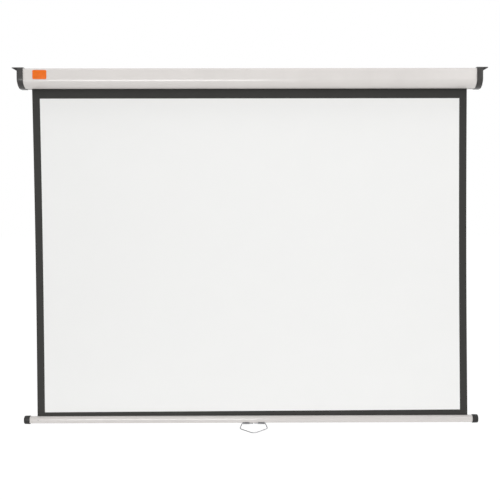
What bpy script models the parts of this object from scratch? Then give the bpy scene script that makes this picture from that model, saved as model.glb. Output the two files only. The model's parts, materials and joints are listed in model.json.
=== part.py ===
"""Wall-hung pull-down projector screen with a sprung roller, modelled pulled right down.

Metres, +Z up. The origin is the centre of the case's back face, which lies on the wall (the plane Y = 0).
+X runs along the case, to the right of someone who watches the screen, and the front faces -Y.
"""

import math

import bmesh
import bpy
from mathutils import Matrix, Vector

# Clearances
SEAT_GAP = 0.0003
RUNNING_GAP = 0.0003

# Screen fabric: a 4:3 white image area inside a black border, on a black-backed sheet
IMAGE_WIDTH = 1.500
IMAGE_HEIGHT = 1.125
SIDE_BORDER = 0.027
TOP_BORDER = 0.0333
BOTTOM_BORDER = 0.0167
FABRIC_THICKNESS = 0.00045
COATING_THICKNESS = 0.0003
FABRIC_TO_WALL = 0.01525
WRAP_TURNS = 1.5
WRAP_PITCH = 0.00075

# Case: one extruded profile with a slot underneath
CASE_BEYOND_FABRIC = 0.021
CASE_HEIGHT = 0.068
CASE_DEPTH = 0.070
CASE_WALL = 0.0014
CASE_BACK_RADIUS = 0.0015
CASE_FRONT_RADIUS = 0.006
CREASE_BELOW_TOP = 0.0455
CREASE_RADIUS = 0.012
NOSE_DEPTH = 0.039
NOSE_RADIUS = 0.016
BELLY_BULGE = 0.0095
BELLY_RADIUS = 0.050
SLOT_WIDTH = 0.020
SLOT_LIP = 0.004
CHANNEL_RADIUS = 0.0036
CHANNEL_BORE = 0.0018
CHANNEL_BITE = 0.0009
CHANNEL_MOUTH_DEG = 70.0
CHANNEL_INSET = 0.009

# End caps of the case, with an ear each for a ceiling screw or a hook
CAP_WIDTH = 0.021
CAP_WALL = 0.0035
CAP_UNDER_WALL = 0.001
CAP_PLATE = 0.003
CAP_EDGE = 0.0008
BOSS_RADIUS = 0.011
BOSS_LENGTH = 0.012
EAR_REACH = 0.020
EAR_THICKNESS = 0.0028
EAR_DROP = 0.0004
EAR_BACK_INSET = 0.010
EAR_LENGTH = 0.056
EAR_SLOT_WIDTH = 0.007
EAR_SLOT_LENGTH = 0.016
EAR_CORNER = 0.005
GUSSET_WIDTH = 0.0165
GUSSET_HEIGHT = 0.0115
GUSSET_THICKNESS = 0.003
GUSSET_INSET = 0.0095
SCREW_RADIUS = 0.0015
SCREW_HEAD_RADIUS = 0.0032
SCREW_HEAD_HEIGHT = 0.0018
SCREW_LENGTH = 0.014
SCREW_DRIVE_RADIUS = 0.0012
SCREW_DRIVE_DEPTH = 0.0009

# Plain label on the front of the case
LABEL_WIDTH = 0.049
LABEL_HEIGHT = 0.032
LABEL_THICKNESS = 0.0008
LABEL_CORNER = 0.004
LABEL_FROM_CAP = 0.058
LABEL_BELOW_TOP = 0.0225

# Roller
ROLLER_RADIUS = 0.017
ROLLER_WALL = 0.001
ROLLER_OVERHANG = 0.003
PLUG_LENGTH = 0.030
FLANGE_THICKNESS = 0.003
FLANGE_OVERLAP = 0.0004
PIN_RADIUS = 0.004
PIN_SEAT = 0.040
BUSH_WALL = 0.0025
BUSH_FLANGE = 0.0012
BUSH_FLANGE_STEP = 0.002

# Spring drive on the right
SHAFT_RADIUS = 0.004
SHAFT_FLAT = 0.004
SHAFT_FLAT_LENGTH = 0.0145
SHAFT_TAIL = 0.007
ANCHOR_WALL = 0.0045
SPRING_RADIUS = 0.011
SPRING_WIRE = 0.002
SPRING_LENGTH = 0.456
CONE_NECK = 0.025
CONE_COLLAR = 0.008
CONE_COLLAR_STEP = 0.003
DRIVE_PLUG = 0.018
CONE_TO_HEAD = 0.004
RATCHET_RADIUS = 0.0066
RATCHET_THICKNESS = 0.004
NOTCH_DEPTH = 0.0016
NOTCH_COUNT = 2
NOTCH_RAMP_DEG = 35.0
NOTCH_FLOOR_DEG = 12.0
CLIP_RADIUS = 0.0062
CLIP_THICKNESS = 0.001
CLIP_MOUTH_DEG = 60.0
PAWL_PIVOT_RADIUS = 0.0115
PAWL_THICKNESS = 0.004
PAWL_EYE = 0.0029
PAWL_REACH_DEG = 51.4
PAWL_TIP_RADIUS = 0.0075
PAWL_TIP_WIDTH = 0.0022
PAWL_SWING_DEG = 30.0
PAWL_PIN_RADIUS = 0.0015
PAWL_PIN_HEAD = 0.0024
PAWL_PIN_HEAD_HEIGHT = 0.001
PAWL_PIN_SEAT = 0.010

# Bottom bar
BAR_RADIUS = 0.01325
BAR_WALL = 0.0011
BAR_BEYOND_FABRIC = 0.021
BAR_SLOT = 0.0026
BAR_PIN_RADIUS = 0.0014
BAR_PIN_LENGTH = 0.005
BAR_PIN_PROUD = 0.0005
BAR_PIN_INSET = 0.0095
BAR_PIN_RISE = 0.0012
BAR_CAP_LENGTH = 0.022
BAR_CAP_WALL = 0.0018
BAR_CAP_OVERLAP = 0.010
BAR_CAP_ROUND = 0.0045
BAR_CAP_TAPER = 0.0004
SPIGOT_LENGTH = 0.015
SPIGOT_WALL = 0.002
SPIGOT_CHAMFER = 0.001
HEM_ROD_RADIUS = 0.003
HEM_ROD_SHORT = 0.002

# Pull handle and the two brackets that carry it
WIRE_RADIUS = 0.00175
HANDLE_X = 0.008
HANDLE_TOP_HALF = 0.0415
HANDLE_WIDE_HALF = 0.0505
HANDLE_WIDE_DROP = 0.0194
HANDLE_POINT_DROP = 0.0369
HANDLE_TOP_BEND = 0.004
HANDLE_SIDE_BEND = 0.005
HANDLE_POINT_BEND = 0.040
BRACKET_LENGTH = 0.0242
BRACKET_TO_LEG = 0.002
BRACKET_SHEET = 0.0012
BRACKET_WRAP_DEG = 52.0
WIRE_END_GAP = 0.002
RIVET_RADIUS = 0.0013
RIVET_HEAD_RADIUS = 0.0021
RIVET_HEAD_HEIGHT = 0.0009
RIVET_ANGLE_DEG = 34.0
RIVET_TAIL = 0.0012

# Facets
MOST_OF_EDGE = 0.8
MERGE_DISTANCE = 0.000001
ARC_STEP_DEG = 12.0
COARSE_STEP_DEG = 20.0
FINE_SIDES = 32
ROUND_SIDES = 24
SMALL_SIDES = 16
SHARP_ANGLE_DEG = 30.0
HIDDEN_PAD = 0.004

# Places worked out from the sizes above
EAR_TOP_Z = CASE_HEIGHT / 2 + SEAT_GAP + CAP_WALL - EAR_DROP
FABRIC_HALF = IMAGE_WIDTH / 2 + SIDE_BORDER
FABRIC_FRONT_Y = -(FABRIC_TO_WALL + FABRIC_THICKNESS)
FABRIC_MID_Y = -(FABRIC_TO_WALL + FABRIC_THICKNESS / 2)
CASE_TOP_Z = CASE_HEIGHT / 2
CASE_BOTTOM_Z = -CASE_HEIGHT / 2
IMAGE_TOP_Z = CASE_BOTTOM_Z - TOP_BORDER
IMAGE_BOTTOM_Z = IMAGE_TOP_Z - IMAGE_HEIGHT
CAP_GROWTH = SEAT_GAP + CAP_WALL
CAP_GROWTH_BELOW = SEAT_GAP + CAP_UNDER_WALL
CAP_INNER_X = FABRIC_HALF + CASE_BEYOND_FABRIC
CAP_OUTER_X = CAP_INNER_X + CAP_WIDTH
PLATE_X = CAP_OUTER_X - CAP_PLATE
CASE_HALF = PLATE_X - SEAT_GAP
BOSS_X = PLATE_X - BOSS_LENGTH

WRAP_OUTER_RADIUS = ROLLER_RADIUS + SEAT_GAP + WRAP_PITCH * WRAP_TURNS + FABRIC_THICKNESS
ROLLER_Y = -(FABRIC_TO_WALL + WRAP_OUTER_RADIUS)
ROLLER_HALF = FABRIC_HALF + ROLLER_OVERHANG
ROLLER_BORE = ROLLER_RADIUS - ROLLER_WALL
PLUG_RADIUS = ROLLER_BORE - SEAT_GAP
FLANGE_X = ROLLER_HALF + SEAT_GAP + FLANGE_THICKNESS
SHAFT_HOLE = SHAFT_RADIUS + RUNNING_GAP

BAR_TOP_Z = IMAGE_BOTTOM_Z - BOTTOM_BORDER
BAR_Z = BAR_TOP_Z - BAR_RADIUS
BAR_BORE = BAR_RADIUS - BAR_WALL
BAR_CAP_RADIUS = BAR_RADIUS + SEAT_GAP + BAR_CAP_WALL
BAR_CAP_X = FABRIC_HALF + BAR_BEYOND_FABRIC
HEM_OUTER_RADIUS = HEM_ROD_RADIUS + SEAT_GAP + FABRIC_THICKNESS
HEM_RISE = BAR_BORE - SEAT_GAP - HEM_OUTER_RADIUS

WIRE_DROP = BAR_RADIUS + RUNNING_GAP + WIRE_RADIUS
HUMP_INNER = WIRE_RADIUS + RUNNING_GAP
HUMP_OUTER = HUMP_INNER + BRACKET_SHEET
SADDLE_INNER = BAR_RADIUS + SEAT_GAP
SADDLE_OUTER = SADDLE_INNER + BRACKET_SHEET
BRACKET_OUTER = HANDLE_TOP_HALF - BRACKET_TO_LEG
BRACKET_INNER = BRACKET_OUTER - BRACKET_LENGTH

# Colours and finishes: red, green, blue, roughness, metallic
FINISHES = {
    "white_coat": (0.70, 0.69, 0.66, 0.35, 0.0),
    "black_plastic": (0.045, 0.043, 0.042, 0.45, 0.0),
    "image_white": (0.87, 0.87, 0.86, 0.85, 0.0),
    "black_fabric": (0.042, 0.041, 0.038, 0.80, 0.0),
    "orange_label": (0.80, 0.20, 0.03, 0.30, 0.0),
    "steel": (0.55, 0.55, 0.55, 0.32, 1.0),
    "spring_steel": (0.20, 0.20, 0.205, 0.40, 1.0),
    "plated_wire": (0.25, 0.25, 0.255, 0.25, 1.0),
    "nylon": (0.62, 0.60, 0.55, 0.50, 0.0),
}


# Outlines

def arc(centre_u, centre_v, radius, start_deg, end_deg, step_deg=ARC_STEP_DEG):
    """Points along an arc, both ends included, with a facet for each step_deg."""
    steps = max(2, math.ceil(abs(end_deg - start_deg) / step_deg - 0.001))
    angles = [math.radians(start_deg + (end_deg - start_deg) * i / steps) for i in range(steps + 1)]
    return [(centre_u + radius * math.cos(a), centre_v + radius * math.sin(a)) for a in angles]


def rounded(corners, closed=True):
    """A polygon or an open path of (u, v, radius) corners, with an arc where a corner has a radius."""
    points = []
    count = len(corners)
    for i, (u, v, radius) in enumerate(corners):
        here = Vector((u, v))
        if radius <= 0 or (not closed and i in (0, count - 1)):
            points.append((u, v))
            continue
        before = Vector(corners[i - 1][:2]) - here
        after = Vector(corners[(i + 1) % count][:2]) - here
        half_angle = before.angle(after) / 2
        longest = MOST_OF_EDGE * min(before.length, after.length)
        reach = min(radius / math.tan(half_angle), longest)
        fitted = reach * math.tan(half_angle)
        inwards = (before.normalized() + after.normalized()).normalized()
        centre = here + inwards * fitted / math.sin(half_angle)
        first = here + before.normalized() * reach - centre
        last = here + after.normalized() * reach - centre
        turn = math.degrees(math.atan2(first.x * last.y - first.y * last.x, first.dot(last)))
        start = math.degrees(math.atan2(first.y, first.x))
        points.extend(arc(centre.x, centre.y, fitted, start, start + turn))
    return points


def grown(corners, distances):
    """A closed polygon of rounded corners with each edge moved outwards by its own distance.

    The corners run clockwise in (u, v), and distances[i] is for the edge that leaves corner i.
    """
    made = []
    for i, (u, v, radius) in enumerate(corners):
        here = Vector((u, v))
        arriving = (here - Vector(corners[i - 1][:2])).normalized()
        leaving = (Vector(corners[(i + 1) % len(corners)][:2]) - here).normalized()
        normal_in = Vector((-arriving.y, arriving.x))
        normal_out = Vector((-leaving.y, leaving.x))
        grow_in, grow_out = distances[i - 1], distances[i]
        across = normal_in.x * normal_out.y - normal_in.y * normal_out.x
        shift = Vector((
            (grow_in * normal_out.y - grow_out * normal_in.y) / across,
            (grow_out * normal_in.x - grow_in * normal_out.x) / across,
        ))
        moved = here + shift
        made.append((moved.x, moved.y, radius + min(grow_in, grow_out) if radius > 0 else 0))
    return made


def belly():
    """The rounded belly of the case's lower front, in (Y, Z).

    It is given as the corner of the outline there, the middle of that corner's rounding, and the way out.
    """
    crease = Vector((-CASE_DEPTH, CASE_TOP_Z - CREASE_BELOW_TOP))
    nose = Vector((NOSE_DEPTH - CASE_DEPTH, CASE_BOTTOM_Z))
    slope = nose - crease
    outward = Vector((slope.y, -slope.x)).normalized()
    corner = (crease + nose) / 2 + outward * BELLY_BULGE
    half_turn = math.atan2(BELLY_BULGE, slope.length / 2)
    return corner, corner - outward * BELLY_RADIUS * (1 / math.cos(half_turn) - 1), outward


def case_corners():
    """The case's outline in (Y, Z) without its slot, from the back's bottom over the top to the nose."""
    corner, _, _ = belly()
    return [
        (0.0, CASE_BOTTOM_Z, CASE_BACK_RADIUS),
        (0.0, CASE_TOP_Z, CASE_BACK_RADIUS),
        (-CASE_DEPTH, CASE_TOP_Z, CASE_FRONT_RADIUS),
        (-CASE_DEPTH, CASE_TOP_Z - CREASE_BELOW_TOP, CREASE_RADIUS),
        (corner.x, corner.y, BELLY_RADIUS),
        (NOSE_DEPTH - CASE_DEPTH, CASE_BOTTOM_Z, NOSE_RADIUS),
    ]


def grown_case(outwards, at_back, below):
    """The case's outline moved outwards down to the crease, and by other distances at the back and below it."""
    corners = list(reversed(case_corners()))
    return rounded(grown(corners, [below, below, outwards, outwards, at_back, below]))


# Objects

def material(name):
    """The named finish as a Principled material, made the first time that it is asked for."""
    made = bpy.data.materials.get(name)
    if made is None:
        red, green, blue, roughness, metallic = FINISHES[name]
        made = bpy.data.materials.new(name)
        made.use_nodes = True
        shader = made.node_tree.nodes["Principled BSDF"]
        shader.inputs["Base Color"].default_value = (red, green, blue, 1.0)
        shader.inputs["Roughness"].default_value = roughness
        shader.inputs["Metallic"].default_value = metallic
        made.diffuse_color = (red, green, blue, 1.0)
    return made


def empty(name, place, parent=None):
    """An empty that carries a moving body, on its joint's axis."""
    made = bpy.data.objects.new(name, None)
    made.location = place
    made.parent = parent
    bpy.context.scene.collection.objects.link(made)
    return made


def finished(name, bm, finish, parent=None, place=(0.0, 0.0, 0.0), turn_deg=0.0, smooth=True):
    """Links the bmesh as an object, turned about its own X axis. Without a finish it is a helper."""
    bmesh.ops.remove_doubles(bm, verts=bm.verts, dist=MERGE_DISTANCE)
    bmesh.ops.recalc_face_normals(bm, faces=bm.faces)
    mesh = bpy.data.meshes.new(name)
    bm.to_mesh(mesh)
    bm.free()
    if smooth:
        mesh.shade_smooth()
        mesh.set_sharp_from_angle(angle=math.radians(SHARP_ANGLE_DEG))
    made = bpy.data.objects.new(name, mesh)
    made.location = place
    made.rotation_euler = (math.radians(turn_deg), 0.0, 0.0)
    made.parent = parent
    bpy.context.scene.collection.objects.link(made)
    if finish:
        mesh.materials.append(material(finish))
    else:
        made.hide_render = True
        made.display_type = "WIRE"
    return made


def prism(name, outline, x_from, x_to, finish=None, **placed):
    """A flat outline in (Y, Z) extruded along X."""
    bm = bmesh.new()
    corners = [bm.verts.new((x_from, y, z)) for y, z in outline]
    face = bm.faces.new(corners)
    swept = bmesh.ops.extrude_face_region(bm, geom=[face])
    moved = [v for v in swept["geom"] if isinstance(v, bmesh.types.BMVert)]
    bmesh.ops.translate(bm, verts=moved, vec=(x_to - x_from, 0.0, 0.0))
    return finished(name, bm, finish, **placed)


def loft(name, sections, finish=None, **placed):
    """A solid through (x, outline) sections. Their outlines in (Y, Z) all have as many points."""
    bm = bmesh.new()
    rings = [[bm.verts.new((x, y, z)) for y, z in outline] for x, outline in sections]
    for ring, following in zip(rings, rings[1:]):
        for i in range(len(ring)):
            bm.faces.new((ring[i - 1], ring[i], following[i], following[i - 1]))
    bm.faces.new(rings[0])
    bm.faces.new(rings[-1])
    return finished(name, bm, finish, **placed)


def upright(name, outline, z_from, z_to, finish=None, **placed):
    """A flat outline in (X, Y) extruded along Z."""
    bm = bmesh.new()
    face = bm.faces.new([bm.verts.new((x, y, z_from)) for x, y in outline])
    swept = bmesh.ops.extrude_face_region(bm, geom=[face])
    moved = [v for v in swept["geom"] if isinstance(v, bmesh.types.BMVert)]
    bmesh.ops.translate(bm, verts=moved, vec=(0.0, 0.0, z_to - z_from))
    return finished(name, bm, finish, **placed)


def turned(name, profile, sides, finish=None, ring=False, **placed):
    """A profile of (x, radius) points spun about the X axis. A ring's profile is a loop off the axis."""
    bm = bmesh.new()
    points = [bm.verts.new((x, 0.0, radius)) for x, radius in profile]
    edges = [bm.edges.new(pair) for pair in zip(points, points[1:])]
    if ring:
        edges.append(bm.edges.new((points[-1], points[0])))
    bmesh.ops.spin(
        bm, geom=points + edges, cent=(0.0, 0.0, 0.0), axis=(1.0, 0.0, 0.0),
        dvec=(0.0, 0.0, 0.0), angle=2 * math.pi, steps=sides, use_merge=True,
    )
    return finished(name, bm, finish, **placed)


def rod(name, x_from, x_to, radius, sides, finish=None, **placed):
    """A plain round bar along X."""
    corners = [(x_from, 0.0), (x_from, radius), (x_to, radius), (x_to, 0.0)]
    return turned(name, corners, sides, finish, **placed)


def sleeve(name, x_from, x_to, inner, outer, sides, finish=None, **placed):
    """A plain round tube along X."""
    corners = [(x_from, inner), (x_from, outer), (x_to, outer), (x_to, inner)]
    return turned(name, corners, sides, finish, ring=True, **placed)


def block(name, low, high, finish=None, **placed):
    """A plain box between two corners."""
    outline = [(low[1], low[2]), (high[1], low[2]), (high[1], high[2]), (low[1], high[2])]
    return prism(name, outline, low[0], high[0], finish, smooth=False, **placed)


def combine(target, other, operation):
    """Adds an exact Boolean of the target with a hidden helper."""
    modifier = target.modifiers.new(other.name, "BOOLEAN")
    modifier.object = other
    modifier.operation = operation
    modifier.solver = "EXACT"


def cut(target, *cutters):
    """Takes each hidden cutter away from the target."""
    for cutter in cutters:
        combine(target, cutter, "DIFFERENCE")


def weld(target, *helpers):
    """Joins each hidden helper to the target as one body."""
    for helper in helpers:
        combine(target, helper, "UNION")


# Case

def case_skin():
    """The case's outer face in (Y, Z), from the lip behind the slot round to the lip in front of it."""
    slot_back = FABRIC_MID_Y + SLOT_WIDTH / 2
    slot_front = FABRIC_MID_Y - SLOT_WIDTH / 2
    corners = [
        (slot_back, CASE_BOTTOM_Z + SLOT_LIP, 0.0),
        (slot_back, CASE_BOTTOM_Z, CASE_BACK_RADIUS),
        *case_corners(),
        (slot_front, CASE_BOTTOM_Z, CASE_BACK_RADIUS),
        (slot_front, CASE_BOTTOM_Z + SLOT_LIP, 0.0),
    ]
    return rounded(corners, closed=False)


def channel_places():
    """Where the screw channels run: Y, Z and the direction from the channel to its wall, in degrees."""
    sink = CASE_WALL + CHANNEL_RADIUS - CHANNEL_BITE
    _, middle, outward = belly()
    sunk = middle - outward * sink
    return {
        "back": (-CHANNEL_INSET, CASE_TOP_Z - sink, 90.0),
        "front": (-CASE_DEPTH + CHANNEL_INSET, CASE_TOP_Z - sink, 90.0),
        "belly": (sunk.x, sunk.y, math.degrees(math.atan2(outward.y, outward.x))),
    }


def make_case():
    """The case's extrusion: a skin with walls of one thickness and three screw channels inside."""
    bm = bmesh.new()
    chain = [bm.verts.new((-CASE_HALF, y, z)) for y, z in case_skin()]
    edges = [bm.edges.new(pair) for pair in zip(chain, chain[1:])]
    swept = bmesh.ops.extrude_edge_only(bm, edges=edges)
    moved = [v for v in swept["geom"] if isinstance(v, bmesh.types.BMVert)]
    bmesh.ops.translate(bm, verts=moved, vec=(2 * CASE_HALF, 0.0, 0.0))
    case = finished("case_shell", bm, "white_coat")
    wall = case.modifiers.new("wall", "SOLIDIFY")
    wall.thickness = CASE_WALL
    wall.offset = -1.0
    wall.use_even_offset = True
    if faces_inwards(case):
        wall.offset = 1.0
    for name, (y, z, direction) in channel_places().items():
        half_mouth = CHANNEL_MOUTH_DEG / 2
        start, end = direction - 180.0 + half_mouth, direction + 180.0 - half_mouth
        outline = arc(y, z, CHANNEL_RADIUS, start, end) + arc(y, z, CHANNEL_BORE, end, start)
        weld(case, prism(f"channel_{name}", outline, -CASE_HALF, CASE_HALF))
    return case


def faces_inwards(case):
    """True if the skin's faces point into the case, as the top one shows."""
    top = max(case.data.polygons, key=lambda face: face.center.z)
    return top.normal.z < 0


def make_label():
    """The plain label on the case's flat front."""
    half_width, half_height = LABEL_WIDTH / 2, LABEL_HEIGHT / 2
    bm = bmesh.new()
    outline = rounded([
        (-half_width, -half_height, LABEL_CORNER),
        (half_width, -half_height, LABEL_CORNER),
        (half_width, half_height, LABEL_CORNER),
        (-half_width, half_height, LABEL_CORNER),
    ])
    face = bm.faces.new([bm.verts.new((x, 0.0, z)) for x, z in outline])
    swept = bmesh.ops.extrude_face_region(bm, geom=[face])
    moved = [v for v in swept["geom"] if isinstance(v, bmesh.types.BMVert)]
    bmesh.ops.translate(bm, verts=moved, vec=(0.0, -LABEL_THICKNESS, 0.0))
    place = (LABEL_FROM_CAP - CAP_INNER_X, -CASE_DEPTH - SEAT_GAP, CASE_TOP_Z - LABEL_BELOW_TOP)
    return finished("case_label", bm, "orange_label", place=place)


# End caps of the case

def make_end_cap(side, hand, bore_radius):
    """A cap over one end of the case: a plate, a rim, an axle boss, and an ear on two gussets."""
    full = grown_case(CAP_GROWTH, 0.0, CAP_GROWTH_BELOW)
    eased = grown_case(CAP_GROWTH - CAP_EDGE, -CAP_EDGE, CAP_GROWTH_BELOW - CAP_EDGE)
    sections = [(CAP_INNER_X, full), (CAP_OUTER_X - CAP_EDGE, full), (CAP_OUTER_X, eased)]
    cap = loft(f"end_cap_{hand}", [(side * x, outline) for x, outline in sections], "black_plastic")
    pocket_from = side * (CAP_INNER_X - HIDDEN_PAD)
    pocket = grown_case(SEAT_GAP, CAP_WALL, SEAT_GAP)
    cut(cap, prism(f"cap_pocket_{hand}", pocket, pocket_from, side * PLATE_X))
    weld(cap, cap_boss(side, hand, bore_radius), ear_plate(side, hand))
    weld(cap, *[gusset(side, hand, end) for end in ("front", "back")])
    cut(cap, ear_slot(side, hand))
    for name, (y, z, _) in channel_places().items():
        hole_from, hole_to = side * (PLATE_X - HIDDEN_PAD), side * (CAP_OUTER_X + HIDDEN_PAD)
        hole_radius = SCREW_RADIUS + SEAT_GAP
        place = (0.0, y, z)
        cut(cap, rod(f"cap_hole_{hand}_{name}", hole_from, hole_to, hole_radius, SMALL_SIDES, place=place))


def cap_boss(side, hand, bore_radius):
    """The round socket for the roller's bearing. Its foot lies inside the cap's plate."""
    foot = PLATE_X + CAP_PLATE / 2
    profile = [(BOSS_X, bore_radius), (BOSS_X, BOSS_RADIUS), (foot, BOSS_RADIUS), (foot, bore_radius)]
    placed = [(side * x, radius) for x, radius in profile]
    return turned(f"cap_boss_{hand}", placed, ROUND_SIDES, ring=True, place=(0.0, ROLLER_Y, 0.0))


def ear_middle():
    """The middle of the ear's length, in Y."""
    return -(EAR_BACK_INSET + EAR_LENGTH / 2)


def ear_plate(side, hand):
    """The flat ear at the top of a cap, which reaches outwards."""
    root_x = side * (CAP_OUTER_X - CAP_PLATE / 2)
    tip_x = side * (CAP_OUTER_X + EAR_REACH)
    back_y = -EAR_BACK_INSET
    front_y = back_y - EAR_LENGTH
    outline = rounded([
        (root_x, back_y, 0.0),
        (root_x, front_y, 0.0),
        (tip_x, front_y, EAR_CORNER),
        (tip_x, back_y, EAR_CORNER),
    ])
    return upright(f"ear_{hand}", outline, EAR_TOP_Z - EAR_THICKNESS, EAR_TOP_Z)


def gusset(side, hand, end):
    """A three-cornered web under the ear, at its front or back end."""
    root_x = side * (CAP_OUTER_X - CAP_PLATE / 2)
    wall_x = side * CAP_OUTER_X
    tip_x = side * (CAP_OUTER_X + GUSSET_WIDTH)
    ear_z = EAR_TOP_Z - EAR_THICKNESS / 2
    tip_z = EAR_TOP_Z - EAR_THICKNESS
    foot_z = tip_z - GUSSET_HEIGHT
    inset = GUSSET_INSET if end == "back" else EAR_LENGTH - GUSSET_INSET - GUSSET_THICKNESS
    back_y = -EAR_BACK_INSET - inset
    bm = bmesh.new()
    corners = [(root_x, ear_z), (root_x, foot_z), (wall_x, foot_z), (tip_x, tip_z), (tip_x, ear_z)]
    face = bm.faces.new([bm.verts.new((x, back_y, z)) for x, z in corners])
    swept = bmesh.ops.extrude_face_region(bm, geom=[face])
    moved = [v for v in swept["geom"] if isinstance(v, bmesh.types.BMVert)]
    bmesh.ops.translate(bm, verts=moved, vec=(0.0, -GUSSET_THICKNESS, 0.0))
    return finished(f"gusset_{hand}_{end}", bm, None)


def ear_slot(side, hand):
    """The cutter for the ear's slot, which runs front to back."""
    middle_x = side * (CAP_OUTER_X + EAR_REACH / 2)
    middle_y = ear_middle()
    radius = EAR_SLOT_WIDTH / 2
    straight = EAR_SLOT_LENGTH / 2 - radius
    outline = arc(middle_x, middle_y + straight, radius, 0.0, 180.0)
    outline += arc(middle_x, middle_y - straight, radius, 180.0, 360.0)
    low, high = EAR_TOP_Z - EAR_THICKNESS - HIDDEN_PAD, EAR_TOP_Z + HIDDEN_PAD
    return upright(f"ear_slot_{hand}", outline, low, high)


def make_cap_screws(side, hand):
    """The pan-head screws that hold a cap to the case's channels, with a socket in each head."""
    for number, (y, z, _) in enumerate(channel_places().values(), 1):
        name = f"cap_screw_{hand}_{number}"
        seat = CAP_OUTER_X + SEAT_GAP
        head = seat + SCREW_HEAD_HEIGHT
        dome = SCREW_HEAD_HEIGHT / 2
        socket = head - SCREW_DRIVE_DEPTH
        profile = [
            (side * (seat - SCREW_LENGTH), 0.0),
            (side * (seat - SCREW_LENGTH), SCREW_RADIUS),
            (side * seat, SCREW_RADIUS),
            (side * seat, SCREW_HEAD_RADIUS),
            (side * (head - dome), SCREW_HEAD_RADIUS),
            (side * head, SCREW_HEAD_RADIUS - dome),
            (side * head, SCREW_DRIVE_RADIUS),
            (side * socket, SCREW_DRIVE_RADIUS),
            (side * socket, 0.0),
        ]
        turned(name, profile, SMALL_SIDES, "steel", place=(0.0, y, z))


# Roller

def make_roller(axis):
    """The tube, its idle end on the left, and the plugs that the spring side needs."""
    tube = (-ROLLER_HALF, ROLLER_HALF, ROLLER_BORE, ROLLER_RADIUS)
    sleeve("roller_tube", *tube, FINE_SIDES, "steel", parent=axis)
    pin_end = PLATE_X - SEAT_GAP
    plug_end = ROLLER_HALF - PLUG_LENGTH
    plug = [
        (-plug_end, PIN_RADIUS + SEAT_GAP),
        (-plug_end, PLUG_RADIUS),
        (-ROLLER_HALF - SEAT_GAP, PLUG_RADIUS),
        (-ROLLER_HALF - SEAT_GAP, ROLLER_RADIUS + FLANGE_OVERLAP),
        (-FLANGE_X, ROLLER_RADIUS + FLANGE_OVERLAP),
        (-FLANGE_X, PIN_RADIUS + SEAT_GAP),
    ]
    turned("idle_plug", plug, FINE_SIDES, "black_plastic", ring=True, parent=axis)
    pin_start = FLANGE_X - PIN_SEAT
    rod("idle_pin", -pin_start, -pin_end, PIN_RADIUS, ROUND_SIDES, "steel", parent=axis)
    make_ratchet_head(axis)
    make_drive_cone(axis)
    make_wrap(axis)


def make_ratchet_head(axis):
    """The plug in the roller's right end, which runs on the fixed shaft and carries the pawls."""
    plug_end = ROLLER_HALF - PLUG_LENGTH
    head = [
        (plug_end, SHAFT_HOLE),
        (plug_end, PLUG_RADIUS),
        (ROLLER_HALF + SEAT_GAP, PLUG_RADIUS),
        (ROLLER_HALF + SEAT_GAP, ROLLER_RADIUS + FLANGE_OVERLAP),
        (FLANGE_X, ROLLER_RADIUS + FLANGE_OVERLAP),
        (FLANGE_X, SHAFT_HOLE),
    ]
    made = turned("ratchet_head", head, FINE_SIDES, "black_plastic", ring=True, parent=axis)
    for name, angle in PAWL_ANGLES.items():
        y, z = pawl_pivot(angle)
        hole = (pawl_start() - PAWL_PIN_SEAT - SEAT_GAP, FLANGE_X + HIDDEN_PAD, PAWL_PIN_RADIUS + SEAT_GAP)
        cut(made, rod(f"pin_hole_{name}", *hole, SMALL_SIDES, parent=axis, place=(0.0, y, z)))


def drive_cone_start():
    """Where the plug at the spring's turning end starts, in X."""
    return spring_start() - SEAT_GAP - DRIVE_PLUG


def spring_end():
    """Where the spring stops against the fixed cone's collar, in X."""
    return ROLLER_HALF - PLUG_LENGTH - CONE_TO_HEAD - CONE_COLLAR - SEAT_GAP


def spring_start():
    """Where the spring stops against the drive cone's plug, in X."""
    return spring_end() - SPRING_LENGTH


def make_drive_cone(axis):
    """The plug deep in the tube that winds the spring's far end, with a neck inside the spring."""
    start = drive_cone_start()
    shoulder = spring_start() - SEAT_GAP
    neck = SPRING_RADIUS - SPRING_WIRE - SEAT_GAP
    profile = [
        (start, SHAFT_HOLE),
        (start, PLUG_RADIUS),
        (shoulder, PLUG_RADIUS),
        (shoulder, neck),
        (shoulder + CONE_NECK, neck),
        (shoulder + CONE_NECK, SHAFT_HOLE),
    ]
    turned("spring_drive_cone", profile, FINE_SIDES, "black_plastic", ring=True, parent=axis)


def make_wrap(axis):
    """The turns of fabric left on the roller when the screen is down, as far as where the sheet hangs off."""
    count = round(WRAP_TURNS * 360 / ARC_STEP_DEG)
    inner, outer = [], []
    for i in range(count + 1):
        turns_from_end = WRAP_TURNS * (1 - i / count)
        angle = 2 * math.pi * turns_from_end
        outside = WRAP_OUTER_RADIUS - WRAP_PITCH * turns_from_end
        inside = outside - FABRIC_THICKNESS
        inner.append((inside * math.cos(angle), inside * math.sin(angle)))
        outer.append((outside * math.cos(angle), outside * math.sin(angle)))
    outline = inner + list(reversed(outer))
    prism("roller_wrap", outline, -FABRIC_HALF, FABRIC_HALF, "black_fabric", parent=axis)


# Fixed pieces of the spring drive

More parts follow.
